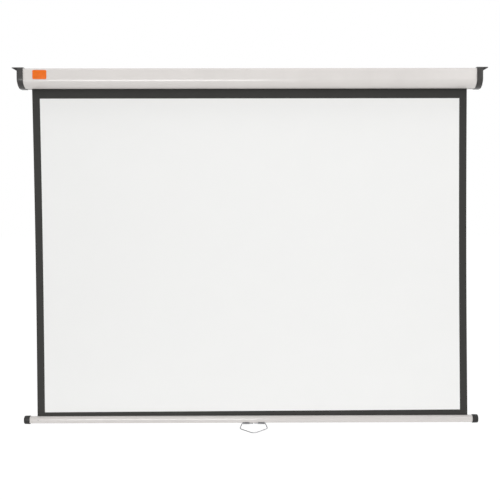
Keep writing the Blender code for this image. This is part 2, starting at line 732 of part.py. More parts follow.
def make_spring_side():
    """The bush, the anchor, the shaft, the ratchet wheel, the spring and its fixed cone."""
    axle = (0.0, ROLLER_Y, 0.0)
    bush_inner = PIN_RADIUS + RUNNING_GAP
    bush_outer = bush_inner + BUSH_WALL
    bush_end = -(PLATE_X - SEAT_GAP)
    bush_face = -(BOSS_X - SEAT_GAP)
    bush = [
        (bush_end, bush_inner),
        (bush_end, bush_outer),
        (bush_face, bush_outer),
        (bush_face, bush_outer + BUSH_FLANGE_STEP),
        (bush_face + BUSH_FLANGE, bush_outer + BUSH_FLANGE_STEP),
        (bush_face + BUSH_FLANGE, bush_inner),
    ]
    turned("idle_bush", bush, ROUND_SIDES, "nylon", ring=True, place=axle)

    anchor_radius = SHAFT_RADIUS + ANCHOR_WALL
    anchor_end = PLATE_X - SEAT_GAP
    anchor = rod("shaft_anchor", BOSS_X, anchor_end, anchor_radius, ROUND_SIDES, "steel", place=axle)
    slot_half = SHAFT_FLAT / 2 + SEAT_GAP
    slot_reach = SHAFT_RADIUS + SEAT_GAP
    low = (BOSS_X - HIDDEN_PAD, -slot_half, -slot_reach)
    high = (anchor_end + HIDDEN_PAD, slot_half, slot_reach)
    cut(anchor, block("anchor_slot", low, high, place=axle))

    shaft_end = PLATE_X - SEAT_GAP
    shaft_start = drive_cone_start() - SHAFT_TAIL
    shaft = rod("spring_shaft", shaft_start, shaft_end, SHAFT_RADIUS, ROUND_SIDES, "steel", place=axle)
    flat_from = shaft_end - SHAFT_FLAT_LENGTH
    for name, sign in (("front", -1), ("back", 1)):
        near, far = sign * SHAFT_FLAT / 2, sign * (SHAFT_RADIUS + HIDDEN_PAD)
        low = (flat_from, min(near, far), -SHAFT_RADIUS - HIDDEN_PAD)
        high = (shaft_end + HIDDEN_PAD, max(near, far), SHAFT_RADIUS + HIDDEN_PAD)
        cut(shaft, block(f"shaft_flat_{name}", low, high, place=axle))

    inner = SPRING_RADIUS - SPRING_WIRE
    coil = (spring_start(), spring_end(), inner, SPRING_RADIUS)
    sleeve("torsion_spring", *coil, FINE_SIDES, "spring_steel", place=axle)
    collar = spring_end() + SEAT_GAP
    neck = inner - SEAT_GAP
    hole = SHAFT_RADIUS + SEAT_GAP
    cone = [
        (collar - CONE_NECK, hole),
        (collar - CONE_NECK, neck),
        (collar, neck),
        (collar, SPRING_RADIUS + CONE_COLLAR_STEP),
        (collar + CONE_COLLAR, SPRING_RADIUS + CONE_COLLAR_STEP),
        (collar + CONE_COLLAR, hole),
    ]
    turned("spring_fixed_cone", cone, FINE_SIDES, "black_plastic", ring=True, place=axle)
    make_ratchet_wheel(axle)


def make_ratchet_wheel(axle):
    """The fixed wheel that a pawl drops into, and the spring clip that keeps it on the shaft."""
    hole = SHAFT_RADIUS + SEAT_GAP
    wheel_from = pawl_start()
    wheel_to = wheel_from + RATCHET_THICKNESS
    outline = []
    share = 360.0 / NOTCH_COUNT
    for i in range(NOTCH_COUNT):
        step = share * i
        outline += arc(0.0, 0.0, RATCHET_RADIUS, step, step + share - NOTCH_RAMP_DEG)
        outline += arc(0.0, 0.0, RATCHET_RADIUS - NOTCH_DEPTH, step + share - NOTCH_FLOOR_DEG, step + share)
    wheel = prism("ratchet_wheel", outline, wheel_from, wheel_to, "steel", place=axle)
    bore = (wheel_from - HIDDEN_PAD, wheel_to + HIDDEN_PAD, hole)
    cut(wheel, rod("wheel_hole", *bore, ROUND_SIDES, place=axle))
    half_mouth = CLIP_MOUTH_DEG / 2
    clip = arc(0.0, 0.0, CLIP_RADIUS, -90.0 + half_mouth, 270.0 - half_mouth)
    clip += arc(0.0, 0.0, hole, 270.0 - half_mouth, -90.0 + half_mouth)
    clip_from = wheel_to + SEAT_GAP
    prism("shaft_clip", clip, clip_from, clip_from + CLIP_THICKNESS, "spring_steel", place=axle)


# Pawls: the upper one rests against the wheel's side of its swing, the lower one hangs away from it

PAWL_ANGLES = {"upper": 90.0, "lower": 270.0}
PAWL_REST_DEG = {"upper": 0.0, "lower": -PAWL_SWING_DEG}


def pawl_pivot(angle_deg):
    """A pawl pin's place in (Y, Z), seen from the roller's axis."""
    angle = math.radians(angle_deg)
    return PAWL_PIVOT_RADIUS * math.cos(angle), PAWL_PIVOT_RADIUS * math.sin(angle)


def pawl_start():
    """The face of the pawls that runs on the ratchet head, in X."""
    return FLANGE_X + SEAT_GAP


def make_pawls(roller_axis):
    """Two pawls on pins. Each is an eye with an arm that reaches round towards the ratchet wheel."""
    start = pawl_start()
    for name, angle in PAWL_ANGLES.items():
        y, z = pawl_pivot(angle)
        pin_head = start + PAWL_THICKNESS + SEAT_GAP
        pin = [
            (start - PAWL_PIN_SEAT, 0.0),
            (start - PAWL_PIN_SEAT, PAWL_PIN_RADIUS),
            (pin_head, PAWL_PIN_RADIUS),
            (pin_head, PAWL_PIN_HEAD),
            (pin_head + PAWL_PIN_HEAD_HEIGHT, PAWL_PIN_HEAD),
            (pin_head + PAWL_PIN_HEAD_HEIGHT, 0.0),
        ]
        turned(f"pawl_pin_{name}", pin, SMALL_SIDES, "steel", parent=roller_axis, place=(0.0, y, z))
        pivot = empty(f"pawl_axis_{name}", (0.0, y, z), roller_axis)
        tip_angle = math.radians(angle + PAWL_REACH_DEG)
        tip = []
        for radius in (PAWL_TIP_RADIUS + PAWL_TIP_WIDTH, PAWL_TIP_RADIUS):
            tip.append((radius * math.cos(tip_angle) - y, radius * math.sin(tip_angle) - z))
        outline = arc(0.0, 0.0, PAWL_EYE, angle - 205.0, angle + 25.0) + tip
        hole = rod(
            f"pawl_hole_{name}", start - HIDDEN_PAD, start + PAWL_THICKNESS + HIDDEN_PAD,
            PAWL_PIN_RADIUS + RUNNING_GAP, SMALL_SIDES, parent=pivot,
        )
        pawl = prism(
            f"pawl_{name}", outline, start, start + PAWL_THICKNESS, "steel",
            parent=pivot, turn_deg=PAWL_REST_DEG[name],
        )
        cut(pawl, hole)


# Screen

def make_screen():
    """The black-backed sheet that hangs behind the roller, and the white image area on its front."""
    hem_top = BAR_Z + HEM_RISE + HEM_OUTER_RADIUS + SEAT_GAP
    low = (-FABRIC_HALF, FABRIC_FRONT_Y, hem_top)
    high = (FABRIC_HALF, -FABRIC_TO_WALL, -SEAT_GAP)
    block("screen_fabric", low, high, "black_fabric")
    coating_back = FABRIC_FRONT_Y - SEAT_GAP
    low = (-IMAGE_WIDTH / 2, coating_back - COATING_THICKNESS, IMAGE_BOTTOM_Z)
    high = (IMAGE_WIDTH / 2, coating_back, IMAGE_TOP_Z)
    block("viewing_surface", low, high, "image_white")


# Bottom bar

def make_bottom_bar(carriage):
    """The round bar with its slot on top, the hem and its rod inside it, and a cap on each end."""
    outer_slot = math.degrees(math.asin(BAR_SLOT / 2 / BAR_RADIUS))
    inner_slot = math.degrees(math.asin(BAR_SLOT / 2 / BAR_BORE))
    outline = arc(0.0, 0.0, BAR_RADIUS, 90.0 + outer_slot, 450.0 - outer_slot)
    outline += arc(0.0, 0.0, BAR_BORE, 450.0 - inner_slot, 90.0 + inner_slot)
    bar_half = BAR_CAP_X + BAR_CAP_OVERLAP
    bar = prism("bottom_bar", outline, -bar_half, bar_half, "white_coat", parent=carriage)
    hem = (0.0, 0.0, HEM_RISE)
    rod_half = FABRIC_HALF - HEM_ROD_SHORT
    rod("hem_rod", -rod_half, rod_half, HEM_ROD_RADIUS, SMALL_SIDES, "steel", parent=carriage, place=hem)
    sleeve(
        "fabric_hem", -FABRIC_HALF, FABRIC_HALF, HEM_ROD_RADIUS + SEAT_GAP, HEM_OUTER_RADIUS, ROUND_SIDES,
        "black_fabric", parent=carriage, place=hem,
    )
    for side, hand in ((-1, "left"), (1, "right")):
        make_bar_cap(carriage, side, hand)
    make_bar_pin(carriage, bar)
    return bar


def make_bar_pin(carriage, bar):
    """The small pin in the bar's front near its left end, just proud of the surface."""
    face = math.sqrt(BAR_RADIUS**2 - BAR_PIN_RISE**2) + BAR_PIN_PROUD
    quarter = Matrix.Rotation(math.radians(-90.0), 4, "Z")
    pin = rod("bar_pin", face - BAR_PIN_LENGTH, face, BAR_PIN_RADIUS, SMALL_SIDES, "spring_steel")
    hole_radius = BAR_PIN_RADIUS + SEAT_GAP
    hole = rod("bar_pin_hole", face - HIDDEN_PAD, face + HIDDEN_PAD, hole_radius, SMALL_SIDES)
    for made in (pin, hole):
        made.data.transform(quarter)
        made.parent = carriage
        made.location = (BAR_PIN_INSET - FABRIC_HALF, 0.0, BAR_PIN_RISE)
    cut(bar, hole)


def make_bar_cap(carriage, side, hand):
    """A round cap over the bar's end, with a hollow spigot inside the bar."""
    end = BAR_CAP_X + BAR_CAP_LENGTH
    seat = BAR_CAP_X + BAR_CAP_OVERLAP + SEAT_GAP
    spigot = BAR_BORE - SEAT_GAP
    end_radius = BAR_CAP_RADIUS - BAR_CAP_TAPER
    round_centre = (end - BAR_CAP_ROUND, end_radius - BAR_CAP_ROUND)
    shoulder = arc(round_centre[0], round_centre[1], BAR_CAP_ROUND, 0.0, 90.0, COARSE_STEP_DEG)
    profile = [(end, 0.0), *shoulder]
    profile += [
        (BAR_CAP_X, BAR_CAP_RADIUS),
        (BAR_CAP_X, BAR_RADIUS + SEAT_GAP),
        (seat, BAR_RADIUS + SEAT_GAP),
        (seat, spigot),
        (seat - SPIGOT_LENGTH + SPIGOT_CHAMFER, spigot),
        (seat - SPIGOT_LENGTH, spigot - SPIGOT_CHAMFER),
        (seat - SPIGOT_LENGTH, spigot - SPIGOT_WALL),
        (seat, spigot - SPIGOT_WALL),
        (seat, 0.0),
    ]
    placed = [(side * x, radius) for x, radius in profile]
    turned(f"bar_cap_{hand}", placed, FINE_SIDES, "black_plastic", parent=carriage)


# Pull handle

def strap_angles(about_bar, about_wire):
    """Where a circle about the bar's axis meets one about the wire's: degrees from the line between them."""
    bar_side = (WIRE_DROP**2 + about_bar**2 - about_wire**2) / (2 * WIRE_DROP * about_bar)
    wire_side = (WIRE_DROP**2 + about_wire**2 - about_bar**2) / (2 * WIRE_DROP * about_wire)
    return math.degrees(math.acos(bar_side)), math.degrees(math.acos(wire_side))


def bracket_outline():
    """A bracket's outline in (Y, Z) about the bar's axis: a strap along the bar with a hump round the wire."""
    bar_inner, wire_inner = strap_angles(SADDLE_INNER, HUMP_INNER)
    bar_outer, wire_outer = strap_angles(SADDLE_OUTER, HUMP_OUTER)
    outline = arc(0.0, 0.0, SADDLE_INNER, BRACKET_WRAP_DEG - 90.0, bar_inner - 90.0)
    outline += arc(0.0, -WIRE_DROP, HUMP_INNER, 90.0 - wire_inner, wire_inner - 270.0)[1:-1]
    outline += arc(0.0, 0.0, SADDLE_INNER, -90.0 - bar_inner, -90.0 - BRACKET_WRAP_DEG)
    outline += arc(0.0, 0.0, SADDLE_OUTER, -90.0 - BRACKET_WRAP_DEG, -90.0 - bar_outer)
    outline += arc(0.0, -WIRE_DROP, HUMP_OUTER, wire_outer - 270.0, 90.0 - wire_outer)[1:-1]
    outline += arc(0.0, 0.0, SADDLE_OUTER, bar_outer - 90.0, BRACKET_WRAP_DEG - 90.0)
    return outline


def make_handle_brackets(carriage, bar):
    """Two brackets under the bar. Each is a strap with a hump round the wire, held by two rivets."""
    for side, hand in ((-1, "left"), (1, "right")):
        x_from = HANDLE_X + side * BRACKET_INNER
        x_to = HANDLE_X + side * BRACKET_OUTER
        bracket = prism(f"handle_bracket_{hand}", bracket_outline(), x_from, x_to, "spring_steel", parent=carriage)
        middle = (x_from + x_to) / 2
        for face, angle in (("front", -RIVET_ANGLE_DEG), ("back", RIVET_ANGLE_DEG)):
            make_rivet(carriage, bar, bracket, f"{hand}_{face}", middle, angle)


def make_rivet(carriage, bar, bracket, name, x, angle_deg):
    """A rivet through a bracket's saddle and the bar's wall, angle_deg round from straight down."""
    outside = SADDLE_OUTER + SEAT_GAP
    inside = BAR_BORE - RIVET_TAIL
    head = RIVET_HEAD_HEIGHT
    profile = [
        (inside, 0.0),
        (inside, RIVET_RADIUS),
        (outside, RIVET_RADIUS),
        (outside, RIVET_HEAD_RADIUS),
        (outside + head / 2, RIVET_HEAD_RADIUS),
        (outside + head, RIVET_HEAD_RADIUS - head / 2),
        (outside + head, 0.0),
    ]
    hole = [
        (inside - HIDDEN_PAD, 0.0),
        (inside - HIDDEN_PAD, RIVET_RADIUS + SEAT_GAP),
        (outside + HIDDEN_PAD, RIVET_RADIUS + SEAT_GAP),
        (outside + HIDDEN_PAD, 0.0),
    ]
    rivet = turned(f"bracket_rivet_{name}", profile, SMALL_SIDES, "spring_steel")
    cutter = turned(f"rivet_hole_{name}", hole, SMALL_SIDES)
    aim = Matrix.Rotation(math.radians(angle_deg), 4, "X") @ Matrix.Rotation(math.radians(90.0), 4, "Y")
    for made in (rivet, cutter):
        made.data.transform(aim)
        made.parent = carriage
        made.location = (x, 0.0, 0.0)
    cut(bar, cutter)
    cut(bracket, cutter)


def make_pull_handle(hinge):
    """The wire loop, whose ends meet under the bar and whose foot comes to a soft point."""
    left = [
        (-WIRE_END_GAP / 2, 0.0, 0.0),
        (-HANDLE_TOP_HALF, 0.0, HANDLE_TOP_BEND),
        (-HANDLE_WIDE_HALF, -HANDLE_WIDE_DROP, HANDLE_SIDE_BEND),
        (0.0, -HANDLE_POINT_DROP, HANDLE_POINT_BEND),
    ]
    right = [(-u, v, radius) for u, v, radius in reversed(left[:-1])]
    path = rounded(left + right, closed=False)
    curve = bpy.data.curves.new("pull_handle", "CURVE")
    curve.dimensions = "3D"
    curve.bevel_depth = WIRE_RADIUS
    curve.bevel_resolution = 2
    curve.use_fill_caps = True
    spline = curve.splines.new("POLY")
    spline.points.add(len(path) - 1)
    for point, (x, z) in zip(spline.points, path):
        point.co = (x, 0.0, z, 1.0)
    curve.materials.append(material("plated_wire"))
    handle = bpy.data.objects.new("pull_handle", curve)
    handle.parent = hinge
    bpy.context.scene.collection.objects.link(handle)


def settle():
    """Applies the Booleans, removes their helpers, and shades each cut piece afresh."""
    bpy.context.view_layer.update()
    graph = bpy.context.evaluated_depsgraph_get()
    cut_pieces = [made for made in bpy.data.objects if made.modifiers]
    settled = [(made, bpy.data.meshes.new_from_object(made.evaluated_get(graph))) for made in cut_pieces]
    for made, mesh in settled:
        made.modifiers.clear()
        made.data = mesh
        mesh.name = made.name
        mesh.set_sharp_from_angle(angle=math.radians(SHARP_ANGLE_DEG))
    for helper in [made for made in bpy.data.objects if made.type == "MESH" and made.hide_render]:
        bpy.data.objects.remove(helper, do_unlink=True)


def main():
    """Clears the scene and builds the screen."""
    for old in list(bpy.data.objects):
        bpy.data.objects.remove(old, do_unlink=True)

    make_case()
    make_label()
    make_end_cap(-1, "left", PIN_RADIUS + RUNNING_GAP + BUSH_WALL + SEAT_GAP)
    make_end_cap(1, "right", SHAFT_RADIUS + ANCHOR_WALL + SEAT_GAP)
    make_cap_screws(-1, "left")
    make_cap_screws(1, "right")
    make_spring_side()

    roller_axis = empty("roller_axis", (0.0, ROLLER_Y, 0.0))
    make_roller(roller_axis)
    make_pawls(roller_axis)
    make_screen()

    carriage = empty("bar_carriage", (0.0, FABRIC_MID_Y, BAR_Z))
    bar = make_bottom_bar(carriage)
    make_handle_brackets(carriage, bar)
    hinge = empty("handle_axis", (HANDLE_X, 0.0, -WIRE_DROP), carriage)
    make_pull_handle(hinge)
    settle()


main()
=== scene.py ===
"""The looks of a wall-hung pull-down projection screen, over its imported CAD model.

Lengths are in metres. X runs along the case, Y into the wall and Z up, and the origin is the
middle of the case's back. Every piece is made where it stands, so each object stays at the origin.
"""

import json
import logging
import math
from abc import ABC, abstractmethod
from dataclasses import dataclass
from enum import Enum
from functools import cache
from typing import Any, Callable, Iterable, Optional, Sequence

import bmesh
import bpy
from bmesh.types import BMEdge, BMFace, BMVert
from mathutils import Matrix, Vector

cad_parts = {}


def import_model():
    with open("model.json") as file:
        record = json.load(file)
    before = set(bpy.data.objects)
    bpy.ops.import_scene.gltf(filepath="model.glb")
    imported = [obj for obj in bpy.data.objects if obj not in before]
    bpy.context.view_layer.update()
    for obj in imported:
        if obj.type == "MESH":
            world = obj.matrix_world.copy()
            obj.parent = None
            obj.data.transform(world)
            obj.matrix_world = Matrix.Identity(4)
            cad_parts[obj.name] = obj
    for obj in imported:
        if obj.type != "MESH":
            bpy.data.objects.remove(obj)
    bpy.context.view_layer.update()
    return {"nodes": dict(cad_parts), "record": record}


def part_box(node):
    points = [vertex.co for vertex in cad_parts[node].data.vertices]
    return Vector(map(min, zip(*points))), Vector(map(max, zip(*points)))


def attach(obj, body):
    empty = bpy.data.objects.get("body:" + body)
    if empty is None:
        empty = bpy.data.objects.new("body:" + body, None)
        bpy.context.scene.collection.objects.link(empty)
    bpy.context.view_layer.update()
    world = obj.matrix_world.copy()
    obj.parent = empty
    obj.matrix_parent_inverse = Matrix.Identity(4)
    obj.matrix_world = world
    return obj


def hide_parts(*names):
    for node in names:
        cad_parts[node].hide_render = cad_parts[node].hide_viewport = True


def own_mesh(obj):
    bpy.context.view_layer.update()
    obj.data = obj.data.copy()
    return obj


LOG = logging.getLogger("projection_screen")

# Vertices that are closer than this become one.
MERGE_DISTANCE = 0.000001

# The least angle between two faces whose edge is shaded sharp, is softened while a piece is made,
# or is rounded once the piece has its wall.
SHADED_ANGLE = math.radians(32.0)
SOFTENED_ANGLE = math.radians(30.0)
ROUNDED_ANGLE = math.radians(50.0)
ROUNDED_SEGMENTS = 2

# Where the cloth hangs, how thick it is, and the gap between pieces that fit over each other.
CLOTH_Y = -0.015475
CLOTH_THICKNESS = 0.00045
FIT_GAP = 0.0003

X_AXIS = Vector((1.0, 0.0, 0.0))
QUARTER_TURN = math.radians(90.0)
WHITE = (1.0, 1.0, 1.0)

Colour = tuple[float, float, float]
Place = tuple[float, float, float]
Socket = bpy.types.NodeSocket

# The kinds of socket that a node group's inputs and outputs have.
VECTOR, NUMBER = "NodeSocketVector", "NodeSocketFloat"


# Named choices


class Body(Enum):
    """The moving and fixed bodies that the pieces ride on."""

    HOUSING = "housing"
    ROLLER = "roller"
    WEIGHT_BAR = "weight_bar"
    HANDLE = "handle"


class Slot(Enum):
    """The record's material slots."""

    WHITE_COAT = "white_coat"
    BLACK_PLASTIC = "black_plastic"
    IMAGE_WHITE = "image_white"
    BLACK_FABRIC = "black_fabric"
    ORANGE_LABEL = "orange_label"
    STEEL = "steel"
    SPRING_STEEL = "spring_steel"
    PLATED_WIRE = "plated_wire"
    NYLON = "nylon"


class Side(Enum):
    """The two ends of the screen, as a viewer in front of it names them."""

    LEFT = "left"
    RIGHT = "right"

    @property
    def sign(self) -> float:
        """The side's direction along X."""
        return -1.0 if self is Side.LEFT else 1.0


class Facing(Enum):
    """The axis that a flat outline faces. The other two are its u and v, in their own order."""

    X = 0
    Y = 1
    Z = 2

    def place(self, u: float, v: float, along: float) -> Vector:
        """Turns a place on the outline's plane into one in space.

        Args:
            u: The place along the plane's first axis.
            v: The place along the plane's second axis.
            along: Where the plane stands on the axis that it faces.

        Returns:
            The place in space.
        """
        values = [u, v]
        values.insert(self.value, along)
        return Vector(values)


# Shader nodes


class NodeBoard:
    """A node tree that is being wired, with short calls for what each finish repeats."""

    # The numbers of the Mix node's colour sockets, whose names it uses for other kinds too.
    MIX_SHARE, MIX_FIRST, MIX_SECOND, MIX_RESULT = 0, 6, 7, 2

    def __init__(self, tree: bpy.types.NodeTree) -> None:
        """Takes the tree to wire."""
        self.tree = tree

    @classmethod
    def emptied(cls, owner: bpy.types.ID) -> "NodeBoard":
        """Empties the node tree of a material or of the surroundings, and takes it.

        Args:
            owner: The material or the surroundings.

        Returns:
            The board for its tree.
        """
        owner.use_nodes = True
        owner.node_tree.nodes.clear()
        return cls(owner.node_tree)

    def feed(self, socket: Socket, value: Any) -> None:
        """Links an output to an input socket, or sets the socket to a plain value.

        Args:
            socket: The input socket.
            value: An output to link, or a plain value.
        """
        if isinstance(value, Socket):
            self.tree.links.new(value, socket)
        else:
            socket.default_value = value

    def add(
        self, kind: str, inputs: Optional[dict[Any, Any]] = None, **settings: Any,
    ) -> bpy.types.Node:
        """Adds a node.

        Args:
            kind: The node's type name.
            inputs: A value or an output socket for each named or numbered input.
            **settings: Values for the node's own properties.

        Returns:
            The new node.
        """
        node = self.tree.nodes.new(kind)
        for name, value in settings.items():
            setattr(node, name, value)
        for name, value in (inputs or {}).items():
            self.feed(node.inputs[name], value)
        return node

    def place(self) -> Socket:
        """Adds the place on the object, in metres, and returns it."""
        return self.add("ShaderNodeTexCoord").outputs["Object"]

    def math(self, operation: str, *values: Any) -> Socket:
        """Adds a Math node and returns its result."""
        node = self.add("ShaderNodeMath", dict(enumerate(values)), operation=operation)
        return node.outputs[0]

    def noise(self, place: Socket, scale: Socket, detail: float, roughness: float = 0.5) -> Socket:
        """Adds a noise.

        Args:
            place: The place that it is read at.
            scale: How many of its lumps lie in a metre.
            detail: How many finer noises lie over it.
            roughness: The strength of the finer noises.

        Returns:
            The noise's value.
        """
        inputs = {"Vector": place, "Scale": scale, "Detail": detail, "Roughness": roughness}
        return self.add("ShaderNodeTexNoise", inputs).outputs[0]

    def spread(self, value: Socket, low: float, high: float) -> Socket:
        """Maps a value from 0..1 to low..high and returns the result."""
        node = self.add("ShaderNodeMapRange", {"Value": value, "To Min": low, "To Max": high})
        return node.outputs["Result"]

    def window(self, value: Socket, low: float, high: float) -> Socket:
        """Maps a value from low..high to 0..1, held at both ends, and returns the result."""
        node = self.add("ShaderNodeMapRange", {"Value": value, "From Min": low, "From Max": high})
        return node.outputs["Result"]

    def blend(self, share: Any, first: Any, second: Any, way: str = "MIX") -> Socket:
        """Mixes two colours.

        Args:
            share: The share of the second colour, as a number or an output.
            first: A colour or a colour output.
            second: A colour or a colour output.
            way: The Mix node's name for the way that the second goes over the first.

        Returns:
            The mixed colour's output.
        """
        colours = {self.MIX_FIRST: first, self.MIX_SECOND: second}
        inputs = {n: (*c, 1.0) if isinstance(c, tuple) else c for n, c in colours.items()}
        node = self.add(
            "ShaderNodeMix", {self.MIX_SHARE: share, **inputs}, data_type="RGBA", blend_type=way,
        )
        return node.outputs[self.MIX_RESULT]

    def effect(self, effect: "Effect", **values: Any) -> dict[str, Socket]:
        """Places a shared effect's node group with its own values.

        Args:
            effect: The effect.
            **values: A value or an output socket for each of the group's inputs.

        Returns:
            The group's outputs by their names.
        """
        node = self.add("ShaderNodeGroup", node_tree=effect.group())
        for name, value in values.items():
            self.feed(node.inputs[name.replace("_", " ").capitalize()], value)
        return dict(node.outputs.items())


@dataclass(frozen=True)
class Effect(ABC):
    """An effect that several finishes share, as one node group with named inputs and outputs."""

    name: str
    inputs: tuple[tuple[str, str], ...]
    outputs: tuple[str, ...]

    @cache
    def group(self) -> bpy.types.NodeTree:
        """The effect's node group, built the first time that it is asked for.

        Returns:
            The node group.
        """
        tree = bpy.data.node_groups.new(self.name, "ShaderNodeTree")
        for label, kind in self.inputs:
            tree.interface.new_socket(name=label, in_out="INPUT", socket_type=kind)
        for label in self.outputs:
            tree.interface.new_socket(name=label, in_out="OUTPUT", socket_type=NUMBER)
        board = NodeBoard(tree)
        entry = dict(board.add("NodeGroupInput").outputs.items())
        board.add("NodeGroupOutput", self.wire(board, entry))
        return tree

    @abstractmethod
    def wire(self, board: NodeBoard, entry: dict[str, Socket]) -> dict[str, Socket]:
        """Wires the inside of the group.

        Args:
            board: The group's node board.
            entry: The group's inputs by their names.

        Returns:
            The output socket for each of the group's outputs.
        """


class Grain(Effect):
    """Fine irregular grain, with slow clouds over it: on paint, plastic, metal and the label."""

    def wire(self, board: NodeBoard, entry: dict[str, Socket]) -> dict[str, Socket]:
        """Wires one fine noise for the height and one slow noise for the clouds.

        Args:
            board: The group's node board.
            entry: The group's inputs by their names.

        Returns:
            The grain's height and the clouds.
        """
        place = entry["Vector"]
        fine = board.noise(place, entry["Grains per metre"], detail=2.0)
        slow = board.noise(place, entry["Clouds per metre"], detail=3.0, roughness=0.55)
        return {"Height": fine, "Clouds": board.window(slow, low=0.3, high=0.7)}


class DrawnLines(Effect):
    """The faint lines that drawing, rolling or extrusion leaves along X."""

    SQUEEZE = (0.02, 1.0, 1.0)

    def wire(self, board: NodeBoard, entry: dict[str, Socket]) -> dict[str, Socket]:
        """Wires a noise that is stretched along X.

        Args:
            board: The group's node board.
            entry: The group's inputs by their names.

        Returns:
            The lines' height and their streaks.
        """
        squeezed = board.add(
            "ShaderNodeVectorMath", {0: entry["Vector"], 1: self.SQUEEZE}, operation="MULTIPLY",
        )
        scale = entry["Lines per metre"]
        lines = board.noise(squeezed.outputs[0], scale, detail=3.0, roughness=0.6)
        return {"Height": lines, "Streaks": board.window(lines, low=0.35, high=0.65)}


class Weave(Effect):
    """Two crossing sets of threads, with an uneven thickness."""

    def wire(self, board: NodeBoard, entry: dict[str, Socket]) -> dict[str, Socket]:
        """Wires one wave for each direction of thread and a noise for the unevenness.

        Args:
            board: The group's node board.
            entry: The group's inputs by their names.

        Returns:
            The threads' height and the slubs.
        """
        bands = {
            "Vector": entry["Vector"], "Scale": entry["Scale"],
            "Distortion": 0.6, "Detail": 1.0, "Detail Scale": 2.0,
        }
        threads = [
            board.add("ShaderNodeTexWave", bands, wave_type="BANDS", bands_direction=axis)
            for axis in ("X", "Y")
        ]
        slubs = board.noise(entry["Vector"], entry["Slubs per metre"], detail=4.0)
        return {
            "Height": board.math("MULTIPLY", *(wave.outputs[1] for wave in threads)),
            "Slubs": board.window(slubs, low=0.3, high=0.7),
        }


class Dust(Effect):
    """Fine dust that settles in patches on whatever faces up."""

    def wire(self, board: NodeBoard, entry: dict[str, Socket]) -> dict[str, Socket]:
        """Wires the upward share of the normal, broken up by a noise.

        Args:
            board: The group's node board.
            entry: The group's inputs by their names.

        Returns:
            The share of dust at each place.
        """
        normal = board.add("ShaderNodeNewGeometry").outputs["Normal"]
        upwards = board.add("ShaderNodeSeparateXYZ", {0: normal}).outputs["Z"]
        facing_up = board.window(upwards, low=0.35, high=1.0)
        patches = board.noise(entry["Vector"], entry["Patches per metre"], detail=4.0)
        broken = board.math("MULTIPLY", facing_up, board.window(patches, low=0.35, high=0.75))
        return {"Mask": board.math("MULTIPLY", broken, entry["Amount"])}


GRAIN = Grain(
    "fine_grain",
    (("Vector", VECTOR), ("Grains per metre", NUMBER), ("Clouds per metre", NUMBER)),
    ("Height", "Clouds"),
)
DRAWN_LINES = DrawnLines(
    "drawn_lines", (("Vector", VECTOR), ("Lines per metre", NUMBER)), ("Height", "Streaks"),
)
WEAVE = Weave(
    "crossed_threads",
    (("Vector", VECTOR), ("Scale", NUMBER), ("Slubs per metre", NUMBER)),
    ("Height", "Slubs"),
)
DUST = Dust(
    "settled_dust",
    (("Vector", VECTOR), ("Patches per metre", NUMBER), ("Amount", NUMBER)),
    ("Mask",),
)


# Finishes


@dataclass(frozen=True)
class Surface:
    """What a finish works out for its shader at each place of a piece."""

    colour: Socket
    roughness: Socket
    height: Socket


@dataclass(frozen=True)
class Finish(ABC):
    """A surface finish: what every one has, and the material that it makes.

    The roughness and the tone each go from one value to the other over the surface. The tone is a
    factor on the colour. The relief is the depth of the grain, and the strength is its effect.
    """

    name: str
    slot: Slot
    colour: Colour
    roughness: tuple[float, float]
    specular: float = 0.5
    tone: tuple[float, float] = (1.0, 1.0)
    relief: float = 0.0001
    strength: float = 0.3

    @cache
    def material(self) -> bpy.types.Material:
        """The finish's material, made the first time that it is asked for.

        Returns:
            The material.
        """
        made = bpy.data.materials.new(self.name)
        board = NodeBoard.emptied(made)
        shader = board.add("ShaderNodeBsdfPrincipled", self.plain_values())
        board.add("ShaderNodeOutputMaterial", {"Surface": shader.outputs[0]})
        surface = self.wire(board)
        bump = {"Strength": self.strength, "Distance": self.relief, "Height": surface.height}
        board.feed(shader.inputs["Base Color"], surface.colour)
        board.feed(shader.inputs["Roughness"], surface.roughness)
        board.feed(shader.inputs["Normal"], board.add("ShaderNodeBump", bump).outputs[0])
        made.diffuse_color = (*self.colour, 1.0)
        return made

    def plain_values(self) -> dict[str, Any]:
        """The shader's own values, before the finish's detail is wired over them."""
        return {"Base Color": (*self.colour, 1.0), "Specular IOR Level": self.specular}

    @abstractmethod
    def wire(self, board: NodeBoard) -> Surface:
        """Wires the finish's own detail.

        Args:
            board: The material's node board.

        Returns:
            The outputs for the shader.
        """

    def tinted(self, factor: float) -> Colour:
        """The finish's colour, lighter or darker by a factor."""
        return tuple(min(1.0, part * factor) for part in self.colour)

    def toned(self, board: NodeBoard, share: Socket) -> Socket:
        """Mixes the finish's two tones and returns the colour."""
        return board.blend(share, *(self.tinted(factor) for factor in self.tone))


